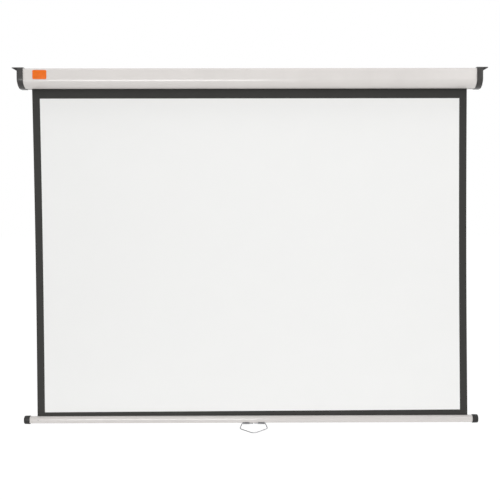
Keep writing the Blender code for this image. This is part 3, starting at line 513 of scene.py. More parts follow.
@dataclass(frozen=True)
class CoatedMetal(Finish):
    """Powder coat over extruded aluminium: a faint orange peel, faint lines and a little dust."""

    tone: tuple[float, float] = (0.975, 1.02)
    relief: float = 0.00006
    strength: float = 0.03
    peel_per_metre: float = 420.0
    clouds_per_metre: float = 9.0
    lines_per_metre: float = 260.0
    lines_height: float = 0.35
    dust: float = 0.12
    dust_per_metre: float = 28.0
    dust_colour: Colour = (0.56, 0.54, 0.50)
    dust_roughness: float = 0.4

    def wire(self, board: NodeBoard) -> Surface:
        """Wires the peel, the lines and the dust.

        Args:
            board: The material's node board.

        Returns:
            The outputs for the shader.
        """
        place = board.place()
        peel = board.effect(
            GRAIN, vector=place, grains_per_metre=self.peel_per_metre,
            clouds_per_metre=self.clouds_per_metre,
        )
        lines = board.effect(DRAWN_LINES, vector=place, lines_per_metre=self.lines_per_metre)
        dust = board.effect(
            DUST, vector=place, patches_per_metre=self.dust_per_metre, amount=self.dust,
        )["Mask"]
        gloss = board.spread(peel["Clouds"], *self.roughness)
        return Surface(
            colour=board.blend(dust, self.toned(board, peel["Clouds"]), self.dust_colour),
            roughness=board.math("MULTIPLY_ADD", dust, self.dust_roughness, gloss),
            height=board.math("MULTIPLY_ADD", lines["Height"], self.lines_height, peel["Height"]),
        )


@dataclass(frozen=True)
class MouldedPlastic(Finish):
    """Injection-moulded plastic with a fine spark-eroded grain and slow changes of tone."""

    tone: tuple[float, float] = (0.85, 1.2)
    relief: float = 0.00012
    strength: float = 0.45
    grains_per_metre: float = 900.0
    clouds_per_metre: float = 40.0
    dust: float = 0.12
    dust_per_metre: float = 70.0
    dust_colour: Colour = (0.30, 0.29, 0.27)

    def wire(self, board: NodeBoard) -> Surface:
        """Wires the grain, the clouds of tone and the dust.

        Args:
            board: The material's node board.

        Returns:
            The outputs for the shader.
        """
        place = board.place()
        grain = board.effect(
            GRAIN, vector=place, grains_per_metre=self.grains_per_metre,
            clouds_per_metre=self.clouds_per_metre,
        )
        dust = board.effect(
            DUST, vector=place, patches_per_metre=self.dust_per_metre, amount=self.dust,
        )["Mask"]
        return Surface(
            colour=board.blend(dust, self.toned(board, grain["Clouds"]), self.dust_colour),
            roughness=board.spread(grain["Clouds"], *self.roughness),
            height=grain["Height"],
        )


@dataclass(frozen=True)
class ScreenCloth(Finish):
    """Coated cloth, with its threads on the cloth's own UV map, in metres."""

    tone: tuple[float, float] = (0.94, 1.05)
    relief: float = 0.00008
    thread_scale: float = 350.0
    thread_tone: float = 0.03
    slubs_per_metre: float = 6.0

    def wire(self, board: NodeBoard) -> Surface:
        """Wires the threads and slow changes of tone.

        Args:
            board: The material's node board.

        Returns:
            The outputs for the shader.
        """
        place = board.add("ShaderNodeUVMap", uv_map=ClothSheet.UV_NAME).outputs[0]
        weave = board.effect(
            WEAVE, vector=place, scale=self.thread_scale, slubs_per_metre=self.slubs_per_metre,
        )
        low = (1.0 - self.thread_tone,) * 3
        threads = board.blend(weave["Height"], low, WHITE)
        return Surface(
            colour=board.blend(1.0, self.toned(board, weave["Slubs"]), threads, way="MULTIPLY"),
            roughness=board.spread(weave["Slubs"], *self.roughness),
            height=weave["Height"],
        )


@dataclass(frozen=True)
class BareMetal(Finish):
    """Plated or bare metal: fine lines along X, and clouds where plating or oil is uneven."""

    tone: tuple[float, float] = (1.06, 0.88)
    relief: float = 0.00003
    lines_per_metre: float = 1500.0
    clouds_per_metre: float = 60.0

    def plain_values(self) -> dict[str, Any]:
        """The shader's own values, for metal all over."""
        return {**super().plain_values(), "Metallic": 1.0}

    def wire(self, board: NodeBoard) -> Surface:
        """Wires the lines and the clouds.

        Args:
            board: The material's node board.

        Returns:
            The outputs for the shader.
        """
        place = board.place()
        grain = board.effect(
            GRAIN, vector=place, grains_per_metre=self.lines_per_metre,
            clouds_per_metre=self.clouds_per_metre,
        )
        lines = board.effect(DRAWN_LINES, vector=place, lines_per_metre=self.lines_per_metre)
        uneven = board.math("MULTIPLY", lines["Streaks"], grain["Clouds"])
        return Surface(
            colour=self.toned(board, uneven),
            roughness=board.spread(uneven, *self.roughness),
            height=lines["Height"],
        )


@dataclass(frozen=True)
class PrintedLabel(Finish):
    """A plain glossy label: one colour under a clear coat, slightly uneven."""

    tone: tuple[float, float] = (0.93, 1.05)
    relief: float = 0.00003
    strength: float = 0.2
    coat: float = 0.04
    coat_roughness: float = 0.12
    grains_per_metre: float = 700.0
    clouds_per_metre: float = 90.0

    def plain_values(self) -> dict[str, Any]:
        """The shader's own values, with a clear coat."""
        coat = {"Coat Weight": self.coat, "Coat Roughness": self.coat_roughness}
        return {**super().plain_values(), **coat}

    def wire(self, board: NodeBoard) -> Surface:
        """Wires the slow unevenness of the ink and of the coat's surface.

        Args:
            board: The material's node board.

        Returns:
            The outputs for the shader.
        """
        grain = board.effect(
            GRAIN, vector=board.place(), grains_per_metre=self.grains_per_metre,
            clouds_per_metre=self.clouds_per_metre,
        )
        return Surface(
            colour=self.toned(board, grain["Clouds"]),
            roughness=board.spread(grain["Clouds"], *self.roughness),
            height=grain["Height"],
        )


WHITE_COAT = CoatedMetal("powder_coat", Slot.WHITE_COAT, (0.685, 0.655, 0.633), (0.205, 0.225))
# The bar's coat is the case's powder coat made glossier, with its colour darkened as painted
# shade.
BAR_COAT_PAINTED_SHADE = CoatedMetal("bar_powder_coat_painted_shade", Slot.WHITE_COAT, (0.645, 0.617, 0.597), (0.145, 0.165))
BLACK_PLASTIC = MouldedPlastic(
    "moulded_black_plastic", Slot.BLACK_PLASTIC, (0.033, 0.031, 0.0295), (0.30, 0.40),
    specular=0.38,
)
BAR_CAP_PLASTIC = MouldedPlastic(
    "bar_cap_plastic", Slot.BLACK_PLASTIC, (0.016, 0.0157, 0.0148), (0.42, 0.55), specular=0.3,
)
NYLON = MouldedPlastic(
    "natural_nylon", Slot.NYLON, (0.62, 0.60, 0.55), (0.42, 0.55), tone=(0.94, 1.04), dust=0.0,
    strength=0.2,
)
IMAGE_WHITE = ScreenCloth(
    "matt_white_coating", Slot.IMAGE_WHITE, (0.87, 0.87, 0.86), (0.80, 0.90), specular=0.2,
    thread_scale=420.0, strength=0.15, tone=(0.995, 1.005), thread_tone=0.01,
)
BLACK_FABRIC = ScreenCloth(
    "black_coated_cloth", Slot.BLACK_FABRIC, (0.0445, 0.0435, 0.0405), (0.72, 0.84),
    specular=0.25, thread_tone=0.25,
)
ORANGE_LABEL = PrintedLabel(
    "plain_orange_label", Slot.ORANGE_LABEL, (0.83, 0.155, 0.007), (0.34, 0.44), specular=0.2,
)
STEEL = BareMetal("zinc_plated_steel", Slot.STEEL, (0.55, 0.55, 0.55), (0.28, 0.42))
SPRING_STEEL = BareMetal(
    "phosphated_steel", Slot.SPRING_STEEL, (0.20, 0.20, 0.205), (0.36, 0.5),
)
# The wire's dark colour is partly its plating and partly a painted reflection: it stands in for
# the darker surroundings that the wire reflects.
PLATED_WIRE = BareMetal(
    "nickel_plated_wire_painted_dark_reflection", Slot.PLATED_WIRE, (0.25, 0.25, 0.255), (0.18, 0.32),
    clouds_per_metre=150.0,
)

# Each slot's finish on the CAD nodes that keep their own mesh.
FINISHES: tuple[Finish, ...] = (
    WHITE_COAT, BLACK_PLASTIC, NYLON, IMAGE_WHITE, BLACK_FABRIC, ORANGE_LABEL, STEEL, SPRING_STEEL,
    PLATED_WIRE,
)


# Mesh work


def shown(name: str, data: bpy.types.ID) -> bpy.types.Object:
    """Puts a mesh, a lamp or a camera into the scene as a named object.

    Args:
        name: The object's name.
        data: The mesh, lamp or camera.

    Returns:
        The object.
    """
    made = bpy.data.objects.new(name, data)
    bpy.context.scene.collection.objects.link(made)
    return made


def linked_edges(verts: Sequence[BMVert]) -> list[BMEdge]:
    """The edges at any of the vertices, each once and in the same order in every run."""
    return list(dict.fromkeys(edge for vert in verts for edge in vert.link_edges))


def spoke(radius: float, angle: float) -> Vector:
    """The way out from an axis along X, at an angle that goes from Y towards Z."""
    return radius * Vector((0.0, math.cos(angle), math.sin(angle)))


def quarter_round(
    along: float, radius: float, rise: float, inwards: float, steps: int,
) -> list[tuple[float, float]]:
    """Works out a quarter of an ellipse for a turned profile, from a piece's side to its end.

    Args:
        along: Where it starts, along the axis.
        radius: How far from the axis it starts.
        rise: How far it goes along the axis.
        inwards: How far it comes in towards the axis.
        steps: The number of straight steps in it.

    Returns:
        Its (along, radius) points, with both ends.
    """
    angles = [QUARTER_TURN * step / steps for step in range(steps + 1)]
    return [
        (along + rise * math.sin(angle), radius - inwards * (1.0 - math.cos(angle)))
        for angle in angles
    ]


@dataclass(frozen=True)
class Corner:
    """A corner of an outline on its plane, and the radius that it is rounded to."""

    u: float
    v: float
    radius: float = 0.0


class Workpiece:
    """A mesh in the making, which ends as one named piece that rides on a body."""

    def __init__(self, name: str) -> None:
        """Starts an empty mesh for the named piece."""
        self.name = name
        self.bm = bmesh.new()

    def outline(
        self, corners: Sequence[Corner], facing: Facing, along: float, closed: bool = True,
        segments: int = 8,
    ) -> list[BMEdge]:
        """Draws straight edges through the corners, and rounds those that have a radius.

        Args:
            corners: The corners in order.
            facing: The axis that the outline faces.
            along: Where the outline stands on that axis.
            closed: Whether the last corner joins the first.
            segments: The number of edges in each rounding.

        Returns:
            The outline's edges.
        """
        before = set(self.bm.edges)
        places = [facing.place(c.u, c.v, along) for c in corners]
        verts = [self.bm.verts.new(place) for place in places]
        pairs = list(zip(verts, verts[1:]))
        if closed:
            pairs.append((verts[-1], verts[0]))
        for pair in pairs:
            self.bm.edges.new(pair)
        for i, corner in enumerate(corners):
            at_end = not closed and i in (0, len(corners) - 1)
            if corner.radius > 0 and not at_end:
                arriving = places[i - 1] - places[i]
                leaving = places[(i + 1) % len(places)] - places[i]
                reach = corner.radius / math.tan(arriving.angle(leaving) / 2)
                self.round_vert(verts[i], reach, segments)
        return [edge for edge in self.bm.edges if edge not in before]

    def round_vert(self, vert: BMVert, reach: float, segments: int) -> None:
        """Rounds a corner of an outline, from the given reach along each of its edges.

        Args:
            vert: The corner.
            reach: How far the rounding reaches along each edge.
            segments: The number of edges in it.
        """
        bmesh.ops.bevel(
            self.bm, geom=[vert], offset=reach, offset_type="OFFSET", segments=segments,
            profile=0.5, affect="VERTICES", material=-1,
        )

    def fill(self, edges: Sequence[BMEdge]) -> BMFace:
        """Fills a closed loop of edges with one face and returns it."""
        return bmesh.ops.contextual_create(self.bm, geom=list(edges))["faces"][0]

    def raise_faces(self, faces: Sequence[BMFace], by: Sequence[float]) -> list[BMFace]:
        """Extrudes faces together.

        Args:
            faces: The faces.
            by: The way that the new faces move.

        Returns:
            The moved faces.
        """
        grown = bmesh.ops.extrude_face_region(self.bm, geom=list(faces))["geom"]
        moved = [item for item in grown if isinstance(item, BMVert)]
        bmesh.ops.translate(self.bm, verts=moved, vec=Vector(by))
        return [item for item in grown if isinstance(item, BMFace)]

    def sweep(self, edges: Sequence[BMEdge], by: Sequence[float]) -> list[BMEdge]:
        """Extrudes edges into faces.

        Args:
            edges: The edges.
            by: The way that the new edges move.

        Returns:
            The edges at the far side.
        """
        grown = bmesh.ops.extrude_edge_only(self.bm, edges=list(edges))["geom"]
        moved = [item for item in grown if isinstance(item, BMVert)]
        bmesh.ops.translate(self.bm, verts=moved, vec=Vector(by))
        far = set(moved)
        return [item for item in grown if isinstance(item, BMEdge) and far.issuperset(item.verts)]

    def spin(
        self, geom: Sequence[Any], centre: Vector, axis: Vector, angle: float, steps: int,
    ) -> list[Any]:
        """Spins geometry part of a turn.

        Args:
            geom: The vertices and edges to spin.
            centre: A point on the axis.
            axis: The axis.
            angle: The turn in radians.
            steps: The number of steps.

        Returns:
            The geometry at the end of the turn.
        """
        return bmesh.ops.spin(
            self.bm, geom=list(geom), cent=centre, axis=axis, dvec=(0.0, 0.0, 0.0), angle=angle,
            steps=steps, use_merge=False, use_duplicate=False,
        )["geom_last"]

    def lathe(self, profile: Sequence[tuple[float, float]], segments: int) -> None:
        """Spins a profile of (along, radius) points a full turn about the X axis.

        Args:
            profile: The points, from one place on the axis to another.
            segments: The number of facets round it.
        """
        verts = [self.bm.verts.new((along, 0.0, radius)) for along, radius in profile]
        edges = [self.bm.edges.new(pair) for pair in zip(verts, verts[1:])]
        bmesh.ops.spin(
            self.bm, geom=[*verts, *edges], cent=(0.0, 0.0, 0.0), axis=X_AXIS,
            dvec=(0.0, 0.0, 0.0), angle=math.tau, steps=segments, use_merge=True,
        )
        bmesh.ops.remove_doubles(self.bm, verts=self.bm.verts, dist=MERGE_DISTANCE)

    def soften(self, edges: Iterable[BMEdge], width: float, segments: int = 3) -> None:
        """Rounds edges of faces.

        Args:
            edges: The edges.
            width: How far the rounding reaches on each side.
            segments: The number of facets across it.
        """
        bmesh.ops.bevel(
            self.bm, geom=list(edges), offset=width, offset_type="OFFSET", segments=segments,
            profile=0.5, affect="EDGES", material=-1, clamp_overlap=True,
        )

    def edges_where(self, test: Callable[[Vector], bool]) -> list[BMEdge]:
        """Finds the sharp edges of the mesh whose ends both pass a test.

        Args:
            test: The test of an end's place.

        Returns:
            The edges.
        """
        return [
            edge for edge in self.bm.edges
            if len(edge.link_faces) == 2
            and edge.calc_face_angle(0.0) > SOFTENED_ANGLE
            and all(test(vert.co) for vert in edge.verts)
        ]

    def turn(self, matrix: Matrix) -> None:
        """Moves or turns the whole mesh so far."""
        bmesh.ops.transform(self.bm, matrix=matrix, verts=self.bm.verts)

    def mirror_to(self, side: Side) -> None:
        """Mirrors a mesh that was made for the right side, if it is for the left one."""
        if side is Side.LEFT:
            bmesh.ops.scale(self.bm, vec=(-1.0, 1.0, 1.0), verts=self.bm.verts)

    def finish(
        self, body: Body, finish: Finish, replaces: Sequence[str] = (), wall: float = 0.0,
        wall_offset: float = 0.0, edge: float = 0.0,
    ) -> bpy.types.Object:
        """Turns the mesh into a piece of the screen.

        Args:
            body: The body that the piece rides on.
            finish: Its finish.
            replaces: The CAD nodes that it stands for.
            wall: The thickness that an open skin gets.
            wall_offset: Where the skin lies in its wall: -1 outside, 0 in the middle.
            edge: The width of a rounding on the wall's sharp edges.

        Returns:
            The piece.
        """
        bmesh.ops.remove_doubles(self.bm, verts=self.bm.verts, dist=MERGE_DISTANCE)
        bmesh.ops.recalc_face_normals(self.bm, faces=self.bm.faces)
        mesh = bpy.data.meshes.new(self.name)
        self.bm.to_mesh(mesh)
        self.bm.free()
        piece = shown(self.name, mesh)
        if wall > 0:
            solid = piece.modifiers.new("wall", "SOLIDIFY")
            solid.thickness = wall
            solid.offset = wall_offset
            solid.use_even_offset = True
        if edge > 0:
            rounding = piece.modifiers.new("edge", "BEVEL")
            rounding.width = edge
            rounding.segments = ROUNDED_SEGMENTS
            rounding.limit_method = "ANGLE"
            rounding.angle_limit = ROUNDED_ANGLE
        if piece.modifiers:
            graph = bpy.context.evaluated_depsgraph_get()
            applied = bpy.data.meshes.new_from_object(piece.evaluated_get(graph))
            piece.modifiers.clear()
            piece.data = applied
            applied.name = self.name
        piece.data.shade_smooth()
        piece.data.set_sharp_from_angle(angle=SHADED_ANGLE)
        piece.data.materials.clear()
        piece.data.materials.append(finish.material())
        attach(piece, body.value)
        if replaces:
            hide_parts(*replaces)
        LOG.info("%s: %d faces on %s", piece.name, len(piece.data.polygons), body.value)
        return piece


# Case


@dataclass(frozen=True)
class CaseProfile:
    """The case's outline from its end: flat back, top and front, a crease, a belly and a nose."""

    height: float = 0.068
    depth: float = 0.070
    crease_below_top: float = 0.0455
    nose_depth: float = 0.039
    back_radius: float = 0.0015
    front_radius: float = 0.006
    crease_radius: float = 0.016
    belly_radius: float = 0.050
    nose_radius: float = 0.016
    belly_bulge: float = 0.0095
    segments: int = 10

    @property
    def top(self) -> float:
        """The height of the case's top."""
        return self.height / 2

    def belly(self) -> Vector:
        """The corner of the outline at the rounded belly under the crease, in (Y, Z).

        Returns:
            The corner.
        """
        crease = Vector((-self.depth, self.top - self.crease_below_top))
        nose = Vector((self.nose_depth - self.depth, -self.top))
        slope = (nose - crease).normalized()
        return (crease + nose) / 2 + Vector((slope.y, -slope.x)) * self.belly_bulge

    def corners(self) -> list[Corner]:
        """The corners in (Y, Z), from the back's bottom over the top and the front to the nose.

        Returns:
            The corners.
        """
        belly = self.belly()
        return [
            Corner(0.0, -self.top, self.back_radius),
            Corner(0.0, self.top, self.back_radius),
            Corner(-self.depth, self.top, self.front_radius),
            Corner(-self.depth, self.top - self.crease_below_top, self.crease_radius),
            Corner(belly.x, belly.y, self.belly_radius),
            Corner(self.nose_depth - self.depth, -self.top, self.nose_radius),
        ]

    def grown(self, by: float, below: float) -> list[Corner]:
        """Moves the corners out, and those below the crease by their own distance. The back stays.

        Args:
            by: The distance over the top and down to the crease.
            below: The distance over the belly and under the case.

        Returns:
            The moved corners, from the back's bottom to the nose.
        """
        corners = self.corners()
        # A distance for each side: the back, the top, the front, the belly's two and the foot.
        outwards = (0.0, by, by, below, below, below)
        moved = []
        for i, corner in enumerate(corners):
            here = Vector((corner.u, corner.v))
            before = corners[i - 1]
            after = corners[(i + 1) % len(corners)]
            arriving = (here - Vector((before.u, before.v))).normalized()
            leaving = (Vector((after.u, after.v)) - here).normalized()
            out_in, out_on = Vector((arriving.y, -arriving.x)), Vector((leaving.y, -leaving.x))
            by_in, by_on = outwards[i - 1], outwards[i]
            across = out_in.x * out_on.y - out_in.y * out_on.x
            shift = Vector((
                by_in * out_on.y - by_on * out_in.y,
                by_on * out_in.x - by_in * out_on.x,
            )) / across
            radius = corner.radius + min(by_in, by_on) if i > 1 else 0.0
            moved.append(Corner(here.x + shift.x, here.y + shift.y, radius))
        return moved


@dataclass
class Case:
    """The painted aluminium case with its slot underneath, and the plain label on its front."""

    profile: CaseProfile = CaseProfile()
    half_length: float = 0.8157
    wall: float = 0.0014
    slot_width: float = 0.020
    slot_lip: float = 0.004
    label_corner: float = 0.004
    label_segments: int = 6
    label_edge: float = 0.00035

    def build(self) -> None:
        """Makes the case's shell and its label."""
        self.build_shell()
        self.build_label()

    def build_shell(self) -> bpy.types.Object:
        """Makes the shell: the outline with a lip at each side of the slot, swept along X.

        Returns:
            The shell.
        """
        top, lip = self.profile.top, self.slot_lip
        back, front = CLOTH_Y + self.slot_width / 2, CLOTH_Y - self.slot_width / 2
        corners = [
            Corner(back, lip - top),
            Corner(back, -top, self.profile.back_radius),
            *self.profile.corners(),
            Corner(front, -top, self.profile.back_radius),
            Corner(front, lip - top),
        ]
        shell = Workpiece("case_shell_painted")
        edges = shell.outline(
            corners, Facing.X, -self.half_length, closed=False, segments=self.profile.segments,
        )
        shell.sweep(edges, (2 * self.half_length, 0.0, 0.0))
        return shell.finish(
            Body.HOUSING, WHITE_COAT, ["case_shell"], wall=self.wall, wall_offset=-1.0,
        )

    def build_label(self) -> bpy.types.Object:
        """Makes the label where the CAD one is, with rounded corners and a soft front edge.

        Returns:
            The label.
        """
        low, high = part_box("case_label")
        label = Workpiece("case_label_plain")
        corners = [
            Corner(x, z, self.label_corner)
            for x, z in ((low.x, low.z), (high.x, low.z), (high.x, high.z), (low.x, high.z))
        ]
        around = label.outline(corners, Facing.Y, high.y, segments=self.label_segments)
        label.raise_faces([label.fill(around)], (0.0, low.y - high.y, 0.0))
        label.soften(label.edges_where(lambda co: co.y < low.y + MERGE_DISTANCE), self.label_edge)
        return label.finish(Body.HOUSING, ORANGE_LABEL, ["case_label"])


@dataclass
class EndCap:
    """A moulded cap over an end of the case, with a slotted ear on two gussets, and its screws."""

    # The facets of the smaller roundings, and how much of half the slot's width the rounding of
    # its corners takes, so that the two at an end don't meet.
    SMALL_SEGMENTS = 2
    ROUND_SHARE = 0.999

    side: Side
    profile: CaseProfile = CaseProfile()
    mouth_x: float = 0.798
    outer_x: float = 0.819
    plate: float = 0.003
    wall: float = 0.0035
    under_wall: float = 0.001
    edge: float = 0.0005
    mouth_edge: float = 0.0003
    ear_reach: float = 0.020
    ear_thickness: float = 0.0028
    ear_drop: float = 0.0004
    ear_back: float = -0.010
    ear_length: float = 0.056
    ear_corner: float = 0.005
    ear_edge: float = 0.0005
    ear_root: float = 0.0012
    slot_width: float = 0.007
    slot_length: float = 0.016
    gusset_width: float = 0.0165
    gusset_height: float = 0.0115
    gusset_thickness: float = 0.003
    gusset_inset: float = 0.0095
    screws: int = 3

    @property
    def ear_top(self) -> float:
        """The height of the ear's top."""
        return self.profile.top + FIT_GAP + self.wall - self.ear_drop

    @property
    def ear_foot(self) -> float:
        """The height of the ear's underside."""
        return self.ear_top - self.ear_thickness

    def build(self) -> None:
        """Makes the cap and its screws."""
        self.build_cap()
        for number in range(1, self.screws + 1):
            self.build_screw(number)

    def build_cap(self) -> bpy.types.Object:
        """Makes the cap's cup, ear and gussets as one piece.

        Returns:
            The cap.
        """
        cap = Workpiece(f"end_cap_moulded_{self.side.value}")
        self.add_cup(cap)
        self.add_ear(cap)
        self.add_gusset(cap, self.ear_back - self.gusset_inset, -1.0)
        self.add_gusset(cap, self.ear_back - self.ear_length + self.gusset_inset, 1.0)
        cap.mirror_to(self.side)
        return cap.finish(Body.HOUSING, BLACK_PLASTIC, [f"end_cap_{self.side.value}"])

    def add_cup(self, cap: Workpiece) -> None:
        """Adds the end plate and the rim round it, which is open at the back.

        Args:
            cap: The piece that gets them.
        """
        plate_x = self.outer_x - self.plate
        outer = self.profile.grown(FIT_GAP + self.wall, FIT_GAP + self.under_wall)
        inner = self.profile.grown(FIT_GAP, FIT_GAP)
        outside, inside = (
            cap.outline(
                self.from_back(corners), Facing.X, plate_x, closed=False,
                segments=self.profile.segments,
            )
            for corners in (outer, inner)
        )
        ends = [self.loose_ends(cap, edges) for edges in (outside, inside)]
        joins = [cap.bm.edges.new(pair) for pair in zip(*ends)]
        back = cap.bm.edges.new(ends[1])
        rim = cap.fill([*outside, *inside, *joins])
        floor = cap.fill([*inside, back])
        cap.raise_faces([rim, floor], (self.plate, 0.0, 0.0))
        cap.raise_faces([rim], (self.mouth_x - plate_x, 0.0, 0.0))
        outer_rim = cap.edges_where(lambda co: co.x > self.outer_x - MERGE_DISTANCE)
        cap.soften(outer_rim, self.edge)
        mouth = cap.edges_where(lambda co: co.x < self.mouth_x + MERGE_DISTANCE)
        cap.soften(mouth, self.mouth_edge, self.SMALL_SEGMENTS)

    @staticmethod
    def from_back(corners: Sequence[Corner]) -> list[Corner]:
        """Orders the corners of an outline as an open line that starts and ends at the back.

        Args:
            corners: The corners, from the back's bottom to the nose.

        Returns:
            The corners from the back's top, over the front, to the back's bottom.
        """
        return [*corners[1:], corners[0]]

    @staticmethod
    def loose_ends(cap: Workpiece, edges: Sequence[BMEdge]) -> tuple[BMVert, BMVert]:
        """Finds the two ends of an open line, the upper one first.

        Args:
            cap: The piece that the line belongs to.
            edges: The line's edges.

        Returns:
            The upper and the lower end.
        """
        own = set(edges)
        ends = [
            vert for edge in edges for vert in edge.verts
            if sum(link in own for link in vert.link_edges) == 1
        ]
        lower, upper = sorted(ends, key=lambda vert: vert.co.z)
        return upper, lower

    def add_ear(self, cap: Workpiece) -> None:
        """Adds the flat ear with its slot.

        Args:
            cap: The piece that gets it.
        """
        root, tip = self.outer_x - self.ear_root, self.outer_x + self.ear_reach
        back, front = self.ear_back, self.ear_back - self.ear_length
        middle_x, middle_y = self.outer_x + self.ear_reach / 2, (back + front) / 2
        half_width, half_length = self.slot_width / 2, self.slot_length / 2
        end_radius = half_width * self.ROUND_SHARE
        plate = [
            Corner(root, back),
            Corner(root, front),
            Corner(tip, front, self.ear_corner),
            Corner(tip, back, self.ear_corner),
        ]
        slot = [
            Corner(middle_x + u * half_width, middle_y + v * half_length, end_radius)
            for u, v in ((-1, 1), (-1, -1), (1, -1), (1, 1))
        ]
        around, hole = (cap.outline(corners, Facing.Z, self.ear_foot) for corners in (plate, slot))
        ring = bmesh.ops.bridge_loops(cap.bm, edges=[*around, *hole])["faces"]
        cap.raise_faces(ring, (0.0, 0.0, self.ear_thickness))
        cap.soften(cap.edges_where(self.is_ear_rim), self.ear_edge)

    def is_ear_rim(self, co: Vector) -> bool:
        """Whether a place lies on the top or bottom of the ear, clear of its root.

        Args:
            co: The place.

        Returns:
            True if it does.
        """
        from_face = min(abs(co.z - self.ear_top), abs(co.z - self.ear_foot))
        clear_of_root = co.x > self.outer_x - self.ear_root + MERGE_DISTANCE
        return from_face < MERGE_DISTANCE and clear_of_root

    def add_gusset(self, cap: Workpiece, start: float, way: float) -> None:
        """Adds a three-cornered web under the ear.

        Args:
            cap: The piece that gets it.
            start: The Y of the web's side that faces away from the ear's middle.
            way: The way from there to the ear's middle: 1 or -1.
        """
        root, tip = self.outer_x - self.ear_root, self.outer_x + self.gusset_width
        inside = self.ear_foot + self.ear_thickness / 2
        foot = self.ear_foot - self.gusset_height
        corners = [
            Corner(root, inside), Corner(root, foot), Corner(self.outer_x, foot),
            Corner(tip, self.ear_foot), Corner(tip, inside),
        ]
        web = cap.fill(cap.outline(corners, Facing.Y, start))
        far = cap.raise_faces([web], (0.0, way * self.gusset_thickness, 0.0))
        slope = [
            edge for face in (web, *far) for edge in face.edges
            if all(self.is_on_slope(vert.co) for vert in edge.verts)
        ]
        cap.soften(slope, self.ear_edge, self.SMALL_SEGMENTS)

    def is_on_slope(self, co: Vector) -> bool:
        """Whether a place is an end of a gusset's sloping edge.

        Args:
            co: The place.

        Returns:
            True if it is.
        """
        reach = co.x - self.outer_x
        below = self.ear_foot - co.z
        at_foot = abs(reach) < MERGE_DISTANCE and below > self.gusset_height / 2
        at_tip = abs(reach - self.gusset_width) < MERGE_DISTANCE and below > -MERGE_DISTANCE
        return at_foot or at_tip

    def build_screw(self, number: int) -> bpy.types.Object:
        """Makes one of the pan-head screws, with a six-sided socket.

        Args:
            number: Which screw, from 1.

        Returns:
            The screw.
        """
        name = f"cap_screw_{self.side.value}_{number}"
        low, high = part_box(name)
        screw = HexSocketScrew(head_radius=(high.z - low.z) / 2, length=high.x - low.x)
        made = screw.made(f"{name}_plated")
        made.turn(Matrix.Translation((max(abs(low.x), abs(high.x)), 0.0, 0.0)))
        made.mirror_to(self.side)
        made.turn(Matrix.Translation((0.0, (low.y + high.y) / 2, (low.z + high.z) / 2)))
        return made.finish(Body.HOUSING, STEEL, [name])


@dataclass
class HexSocketScrew:
    """A pan-head screw that points along X, with the top of its head at the origin."""

    SOCKET_SIDES = 6

    head_radius: float
    length: float
    head_height: float = 0.0018
    shank_radius: float = 0.0014
    dome: float = 0.0008
    dome_segments: int = 4
    socket_across: float = 0.0024
    socket_depth: float = 0.0009
    sides: int = 32

    @staticmethod
    def add_circle(screw: Workpiece, along: float, radius: float, sides: int) -> list[BMEdge]:
        """Adds a circle that faces X.

        Args:
            screw: The piece that gets it.
            along: Where it stands along X.
            radius: Its radius.
            sides: The number of its edges.

        Returns:
            Its edges.
        """
        upright = Matrix.Rotation(QUARTER_TURN, 4, "Y")
        verts = bmesh.ops.create_circle(
            screw.bm, segments=sides, radius=radius,
            matrix=Matrix.Translation((along, 0.0, 0.0)) @ upright,
        )["verts"]
        return linked_edges(verts)

    def made(self, name: str) -> Workpiece:
        """Makes the screw's mesh.

        Args:
            name: The piece's name.

        Returns:
            The mesh in the making.
        """
        screw = Workpiece(name)
        base = self.add_circle(screw, -self.head_height, self.head_radius, self.sides)
        shoulder = screw.sweep(base, (self.head_height, 0.0, 0.0))
        corner_radius = self.socket_across / 2 / math.cos(math.pi / self.SOCKET_SIDES)
        socket = self.add_circle(screw, 0.0, corner_radius, self.SOCKET_SIDES)
        bmesh.ops.bridge_loops(screw.bm, edges=[*shoulder, *socket])
        screw.fill(screw.sweep(socket, (-self.socket_depth, 0.0, 0.0)))
        shank = self.add_circle(screw, -self.head_height, self.shank_radius, self.sides)
        bmesh.ops.bridge_loops(screw.bm, edges=[*base, *shank])
        screw.fill(screw.sweep(shank, (self.head_height - self.length, 0.0, 0.0)))
        between = (corner_radius + self.head_radius) / 2
        rim = screw.edges_where(lambda co: co.x > -MERGE_DISTANCE and co.length > between)
        screw.soften(rim, self.dome, self.dome_segments)
        return screw


# Cloth


@dataclass
class ClothSheet:
    """A strip of coated cloth. Its UV map holds metres across and along the cloth."""

    UV_NAME = "cloth_metres"

    name: str
    width: float
    length: float
    cells: tuple[int, int]
    thickness: float = CLOTH_THICKNESS

    def lay(
        self, place: Callable[[float, float], Vector], body: Body, finish: Finish,
        replaces: Sequence[str],
    ) -> bpy.types.Object:
        """Lays the cloth in its place.

        Args:
            place: Where the cloth's middle layer is, from metres across its middle and along it.
            body: The body that it rides on.
            finish: Its finish.
            replaces: The CAD nodes that it stands for.

        Returns:
            The piece.
        """
        strip = Workpiece(self.name)
        across, along = self.cells
        bmesh.ops.create_grid(strip.bm, x_segments=across, y_segments=along, size=0.5)
        uv = strip.bm.loops.layers.uv.new(self.UV_NAME)
        for vert in strip.bm.verts:
            metres = (vert.co.x * self.width, (0.5 - vert.co.y) * self.length)
            for loop in vert.link_loops:
                loop[uv].uv = metres
            vert.co = place(*metres)
        return strip.finish(body, finish, replaces, wall=self.thickness)


